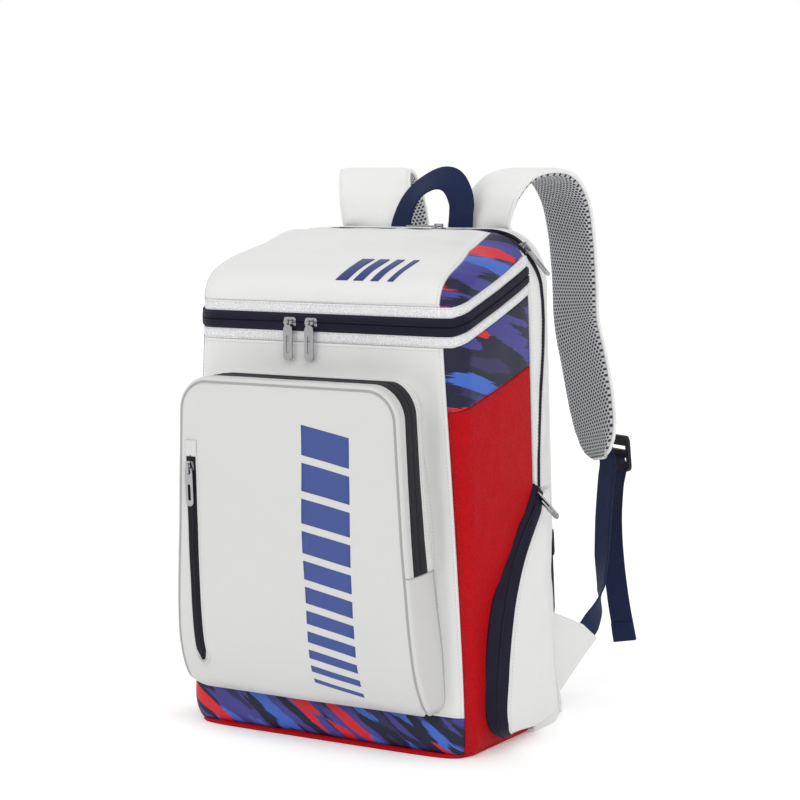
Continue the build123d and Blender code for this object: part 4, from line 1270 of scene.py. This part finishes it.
def band_stations(stations, fine, count):
    """Even stations along a band: distance, centre, direction across, direction outwards, width."""
    table = np.array([[*c, *unit(np.array(a, float)), w] for c, a, w in stations], float)
    dense = spline(table[:, :3], fine)
    length = lengths(dense)
    at = [length[np.argmin(np.linalg.norm(dense - row[:3], axis=1))] for row in table]
    s = np.linspace(0, length[-1], count)
    centre = np.stack([np.interp(s, length, dense[:, k]) for k in range(3)], axis=1)
    across = unit(np.stack([np.interp(s, at, table[:, 3 + k]) for k in range(3)], axis=1))
    tangent = unit(np.gradient(centre, axis=0))
    across = unit(across - tangent * np.sum(across * tangent, axis=1, keepdims=True))
    return s, centre, across, unit(np.cross(across, tangent)), np.interp(s, at, table[:, 6])


STATIONS = band_stations(STRAP, 700, 150)


def strap_part(name, sign, lift, material, slot):
    """One skin of a padded strap, which stands lift above the strap's middle."""
    s, centre, across, out, width = STATIONS
    u = np.linspace(-1, 1, 26)
    rounding = np.clip(1 - np.abs(u) ** 6, 0, 1) ** (1 / 2.6)
    flat = centre[:, None] + across[:, None] * (u * (width / 2)[:, None])[..., None]
    outer = flat + out[:, None] * (lift * rounding)[:, None]
    inner = centre[:, None] + across[:, None] * (u * (width / 2 - 1)[:, None])[..., None]
    uv = np.stack(np.meshgrid(s, u * 35, indexing="ij"), axis=-1)
    return closed_grid(name, outer * [sign, 1, 1], inner * [sign, 1, 1], material, uv, slot=slot)


for name, sign in (("right", 1), ("left", -1)):
    s, centre, across, out, width = STATIONS
    mirror = np.array([sign, 1, 1])
    skin_out = strap_part(f"strap_outer_{name}", sign, 3.4, STRAP_WHITE, "white_pu")
    skin_in = strap_part(f"strap_mesh_{name}", sign, -6.6, MESH, "mesh")
    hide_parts(f"strap_pad_{name}", *(["strap_roots"] if sign > 0 else []))
    bind = []
    for side in (-1, 1):
        path = centre + across * (side * (width / 2 - 0.6))[:, None]
        bind.append(sweep(f"strap_binding_{name}_{'in' if side < 0 else 'out'}", path * mirror, out * mirror,
                          circle(1.7, 10, 1.2), STRAP_WHITE, None, "white_pu"))
    tip = centre[-1] + np.linspace(-1, 1, 12)[:, None] * across[-1] * (width[-1] / 2)
    bind.append(sweep(f"strap_end_{name}", tip * mirror, out[-1] * mirror, circle(2.4, 10, 1.4), STRAP_WHITE,
                      None, "white_pu"))
    for made in (skin_out, skin_in, *bind):
        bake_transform(made)


def flat_strap(name, stations, material, body, slot, sign=1, count=90, thick=1.7, replaces=()):
    """Flat webbing through stations of (centre, direction across, width)."""
    s, centre, across, up, width = band_stations(stations, 500, count)
    profile = flat_oval(25, thick)
    sides = across[:, None] * (profile[None, :, :1] * (width / 25)[:, None, None])
    rings = centre[:, None] + sides + up[:, None] * profile[None, :, 1:]
    return tube(name, rings * [sign, 1, 1], s, profile, material, body, slot, replaces)


LOWER = [
    ((147, 202, 252), turned(TURN), 25),
    ((150, 203, 236), turned(TURN), 25),
    ((149.5, 200.5, 220), turned(TURN), 25),
    ((150.5, 193.5, 185), turned(TURN), 25),
    ((153.5, 184, 148), turned(TURN + 6), 25),
    ((157.5, 175, 116), turned(TURN + 24), 25),
    ((159, 166, 98), (0.1, -0.9, 0.4), 25),
    ((157, 155, 85), (-0.254, -0.727, 0.64), 25),
    ((153, 146, 74), (-0.254, -0.727, 0.64), 25),
]
TAIL = [
    ((156, 210, 243), turned(TURN), 25),
    ((156.5, 213.5, 232), turned(TURN), 25),
    ((152.5, 216.5, 215), turned(TURN), 25),
    ((148, 220, 180), turned(TURN - 8), 25),
    ((148, 222.5, 140), turned(TURN - 18), 25),
    ((153, 224.5, 95), turned(4), 25),
    ((161, 225, 55), turned(2), 25),
]
HEM = [
    ((157.6, 223.6, 73), turned(3), 25.4),
    ((159.3, 223.4, 63), turned(2), 25.4),
    ((161, 223.2, 54.4), turned(2), 25.4),
]
for name, sign in (("right", 1), ("left", -1)):
    lower = flat_strap(f"lower_webbing_{name}", LOWER, WEBBING, None, "webbing", sign,
                       replaces=[f"strap_webbing_{name}"])
    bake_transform(lower)
    flat_strap(f"webbing_tail_{name}", TAIL, WEBBING, f"tail_{name}", "webbing", sign,
               replaces=[f"strap_tail_{name}"])
    flat_strap(f"webbing_hem_{name}", HEM, WEBBING, f"tail_{name}", "webbing", sign, 20, 1.8)

LOOP_Y = 97.4  # depth of the carrying loop's feet
LOOP = [
    ((-26, LOOP_Y, 453), (1, 0, 0), 22),
    ((-25.5, LOOP_Y, 470), (1, 0, 0), 22),
    ((-21, LOOP_Y + 1.5, 487), (0.93, -0.2, -0.15), 22),
    ((-13, LOOP_Y + 3, 501), (0.75, -0.45, -0.35), 24),
    ((-1, LOOP_Y + 4.5, 511), (0.35, -0.6, -0.65), 26),
    ((14, LOOP_Y + 5, 517), (0.05, -0.6, -0.8), 27),
    ((27, LOOP_Y + 4.5, 515.5), (-0.3, -0.5, -0.8), 27),
    ((36, LOOP_Y + 3, 507), (-0.8, -0.35, -0.5), 26),
    ((41.5, LOOP_Y + 1.5, 494), (-0.97, -0.15, -0.1), 26),
    ((42, LOOP_Y, 483), (-1, 0, 0), 26.5),
    ((41.3, LOOP_Y, 470), (-1, 0, 0), 27),
    ((40.5, LOOP_Y, 453), (-1, 0, 0), 27),
]
loop = flat_strap("carry_loop_webbing", LOOP, WEBBING, None, "webbing", 1, 140, 2.2,
                  replaces=["handle_loop"])
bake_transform(loop)

# --- wings -----------------------------------------------------------------------------------------
WING_X, WING_Y = 0.33, 0.944  # direction in which a wing stands off the bag
for name, sign in (("right", 1), ("left", -1)):

    def wing(a, b, sign=sign):
        """a from the bag to the tip, b from the lower to the upper edge."""
        a, b = paired(a, b)
        reach = -3 + a * (64 + (44 - 64) * b + 3)
        low, high = 5 + (70 - 5) * a**0.9, 106 + (86 - 106) * a
        z = low + (high - low) * b
        return stacked(sign * (141.4 + WING_X * reach), BACK_Y + 5.6 + WING_Y * reach, z)

    Panel(f"strap_wing_{name}", wing, (0, 1), (0, 1), (26, 26), WHITE, "bag", "white_pu", seams="BCD",
          roll=1.4, crown=0.8, thick=2.8, outward=(sign * WING_Y, -WING_X, 0), waves=[(40, 0.4, 71)],
          replaces=["strap_wings"] if sign > 0 else [])

# --- stitching -------------------------------------------------------------------------------------
body_lines = [front_panel.line("A", 3.2), front_panel.line("B", 3.2), front_panel.line("D", 3.0),
              front_panel.line("C", 3.0)]
body_lines += [gusset_front.line("D", 2.6), gusset_rear.line("C", 2.6), gusset_front.line("C", 2.8),
               root_strip.line("D", 2.4)]
stitches("stitch_white_bag", body_lines, THREAD_WHITE, "bag")
stitches("stitch_trim_bag", [trim_low.line("D", 1.6), trim_low.line("C", 1.8)], THREAD_WHITE, "bag")
stitches("stitch_trim_lid", [trim_high.line("C", 1.6), trim_high.line("D", 1.8)], THREAD_WHITE, "lid")
stitches("stitch_lid", [lid_top.line("C", 3.0), lid_top.line("D", 3.0), lid_top.line("A", 2.6)],
         THREAD_WHITE, "lid")
red_lines = [panel.line(edge, inset) for panel in sides.values() for edge,
             inset in (("A", 2.6), ("B", 2.6), ("D", 2.4))]
stitches("stitch_red", red_lines, THREAD_DARK, "bag")
stitches("stitch_print", [panel.line(edge, 2.4) for panel in side_prints.values() for edge in "ABC"],
         THREAD_DARK, "bag")
for name in ("right", "left"):
    panel = side_panels[name]
    stitches(f"stitch_side_pocket_{name}", [panel.line("A", 3.2), panel.line("B", 3.0)], THREAD_WHITE,
             f"side_pocket_{name}")
stitches("stitch_flap", [front_strip.line("C", 2.2)], THREAD_WHITE, "pocket_flap")

guide = spline([(94, 330), (103, 295), (112, 254), (118, 200), (122, 140), (125.5, 90), (127.5, 47)], 90)
root = on_face(*guide.T, front_panel)
stitches("stitch_pocket_root", [(root[:, :3], root[:, 3:])], THREAD_WHITE, "bag")
dots = on_face(*spline([(-97, 281), (-95.5, 244), (-96.5, 188), (-96, 138), (-95, 104), (-95, 74)], 90).T,
               pocket_face_panel)
made = stitches("stitch_small_zip", [(dots[:, :3], dots[:, 3:])], THREAD_WHITE, None)
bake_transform(made)


def decal(name, shapes, panel, material, body, lift=0.22):
    """Flat printed shapes: each a quad given by its four (x, z) corners, laid on a panel."""
    verts, faces, n = [], [], 9
    u, v = np.meshgrid(np.linspace(0, 1, n), np.linspace(0, 1, n), indexing="ij")
    weights = [(1 - u) * (1 - v), u * (1 - v), u * v, (1 - u) * v]
    rim = rim_of(n, n)
    for corners in shapes:
        xz = sum(np.array(corner, float) * weight[..., None] for corner, weight in zip(corners, weights))
        on = on_face(xz[..., 0].ravel(), xz[..., 1].ravel(), panel)
        start, under = len(verts), len(verts) + n * n
        verts += list(on[:, :3] + on[:, 3:] * lift) + list(on[:, :3] - on[:, 3:] * 0.3)
        faces += grid_faces(n, n, start) + grid_faces(n, n, under, True)
        faces += [(start + a, start + b, under + b, under + a) for a, b in zip(rim, rim[1:] + rim[:1])]
    made = make_object(name, verts, faces, material, body=body)
    fix_normals(made)
    return made


PRINT_BLUE = coated_fabric("print_blue", (0.036, 0.066, 0.25), rough=0.45)
PRINT_NAVY = coated_fabric("print_navy", (0.022, 0.036, 0.17), rough=0.4)
bars, top = [], 292.0
for i, height in enumerate((27, 25, 22, 20, 17, 15, 12, 10, 8, 6, 4)):
    left = 17 + 0.1 * i
    bars.append([(left, top - height + 9), (left + 50, top - height), (left + 50, top), (left, top + 9)])
    top -= height + 7
graphic = decal("pocket_graphic", bars, pocket_face_panel, PRINT_BLUE, None)
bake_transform(graphic)
lid_bars = [[(12 + 18 * i, 426), (24 + 16 * i, 426), (36 + 16 * i, 444), (24 + 18 * i, 444)]
            for i in range(4)]
decal("lid_graphic", lid_bars, lid_top, PRINT_NAVY, "lid", 0.75)

# --- carried-over CAD pieces -----------------------------------------------------------------------
def dress(node, material):
    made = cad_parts[node]
    made.data.materials.clear()
    made.data.materials.append(material)
    return made


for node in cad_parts:
    if "slider" in node or node.endswith("_pull") or "_pull_" in node:
        edge = dress(node, NICKEL).modifiers.new("edge", "BEVEL")
        edge.width, edge.segments, edge.limit_method = 0.0003, 2, "ANGLE"
dress("hidden_pocket_puller", BLACK)
for name, sign in (("right", 1), ("left", -1)):
    # the side pockets' pulls hang down from their sliders at rest
    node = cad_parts[f"side_pull_{name}"]
    hung = bpy.data.objects.new(f"side_pull_{name}_hung", node.data.copy())
    pivot = Matrix.Translation((sign * 0.1535, 0.0432, 0.2283))
    hung.data.transform(pivot @ Matrix.Rotation(sign * math.radians(43), 4,
                                                "Y") @ pivot.inverted() @ node.matrix_world)
    corners = np.array([v.co for v in hung.data.vertices])
    long_way = np.linalg.svd(corners - corners.mean(axis=0), full_matrices=False)[2][0]
    hung.data.transform(pivot @ Matrix.Rotation(math.radians(60), 4, Vector(long_way)) @ pivot.inverted())
    bpy.context.scene.collection.objects.link(hung)
    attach(hung, f"side_pull_{name}_body")
    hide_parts(f"side_pull_{name}")
for node, material in (("ladder_lock_right", BLACK), ("ladder_lock_left", BLACK), ("base_panel", RED),
                       ("base_board", LINING), ("back_board", LINING)):
    dress(node, material)


# --- stage -----------------------------------------------------------------------------------------
paper = Shader("floor").finish(Base_Color=(0.96, 0.96, 0.96), Roughness=0.9, Specular_IOR_Level=0.1,
                               Emission_Color=(1, 1, 1), Emission_Strength=0.18)
FAR, UNDER = 9000, -0.05
corners = [(-FAR, -FAR, UNDER), (FAR, -FAR, UNDER), (FAR, FAR, UNDER), (-FAR, FAR, UNDER)]
floor = make_object("floor", corners, [(0, 1, 2, 3)], paper)


def put_light(name, kind, toward, energy):
    light = bpy.data.lights.new(name, kind)
    light.energy = energy
    made = bpy.data.objects.new(name, light)
    made.rotation_euler = toward.to_track_quat("-Z", "Y").to_euler()
    bpy.context.scene.collection.objects.link(made)
    return made


def area(name, place, target, size, power):
    made = put_light(name, "AREA", Vector(target) - Vector(place), power)
    made.location = place
    made.data.shape, made.data.size, made.data.size_y = "RECTANGLE", *size


def sun(name, toward, strength, spread):
    put_light(name, "SUN", Vector(toward), strength).data.angle = math.radians(spread)


sun("sky_left", (0.3, 0.85, -0.85), 0.5, 70)
sun("sky_right", (-0.75, 0.62, -0.75), 0.95, 50)
area("glint", (-0.5, -2.0, 1.1), (0, 0, 0.25), (0.5, 1.4), 4)
world = bpy.data.worlds.new("studio")
world.use_nodes = True
nodes, links = world.node_tree.nodes, world.node_tree.links
# the surroundings are white all round, at full strength behind on the left and at half strength opposite
direction = nodes.new("ShaderNodeTexCoord").outputs[0]
dot = nodes.new("ShaderNodeVectorMath")
dot.operation = "DOT_PRODUCT"
dot.inputs[1].default_value = (-0.51, 0.86, 0.0)
links.new(direction, dot.inputs[0])
fall = nodes.new("ShaderNodeMapRange")
fall.interpolation_type = "SMOOTHSTEP"
for k, value in ((1, -0.5), (2, 0.7), (3, 0.5), (4, 1.0)):
    fall.inputs[k].default_value = value
links.new(dot.outputs[1], fall.inputs[0])
links.new(fall.outputs[0], nodes["Background"].inputs[1])
nodes["Background"].inputs[0].default_value = (1, 1, 1, 1)
bpy.context.scene.world = world
bpy.context.scene.view_settings.view_transform = "Standard"

AZIMUTH, ELEVATION = math.radians(30.872), math.radians(5.923)  # where the camera stands, seen from the bag
CAMERA_PLACE = (1.104664, -1.794968, 0.527704)
SENSOR, FOCAL = 36, 100.98846  # both in millimetres
level = math.cos(ELEVATION)
back = Vector((math.sin(AZIMUTH) * level, -math.cos(AZIMUTH) * level, math.sin(ELEVATION)))
lens = bpy.data.cameras.new("camera")
lens.lens, lens.sensor_width = FOCAL, SENSOR
camera = bpy.data.objects.new("camera", lens)
camera.location = CAMERA_PLACE
camera.rotation_euler = (-back).to_track_quat("-Z", "Y").to_euler()
bpy.context.scene.collection.objects.link(camera)
bpy.context.scene.camera = camera
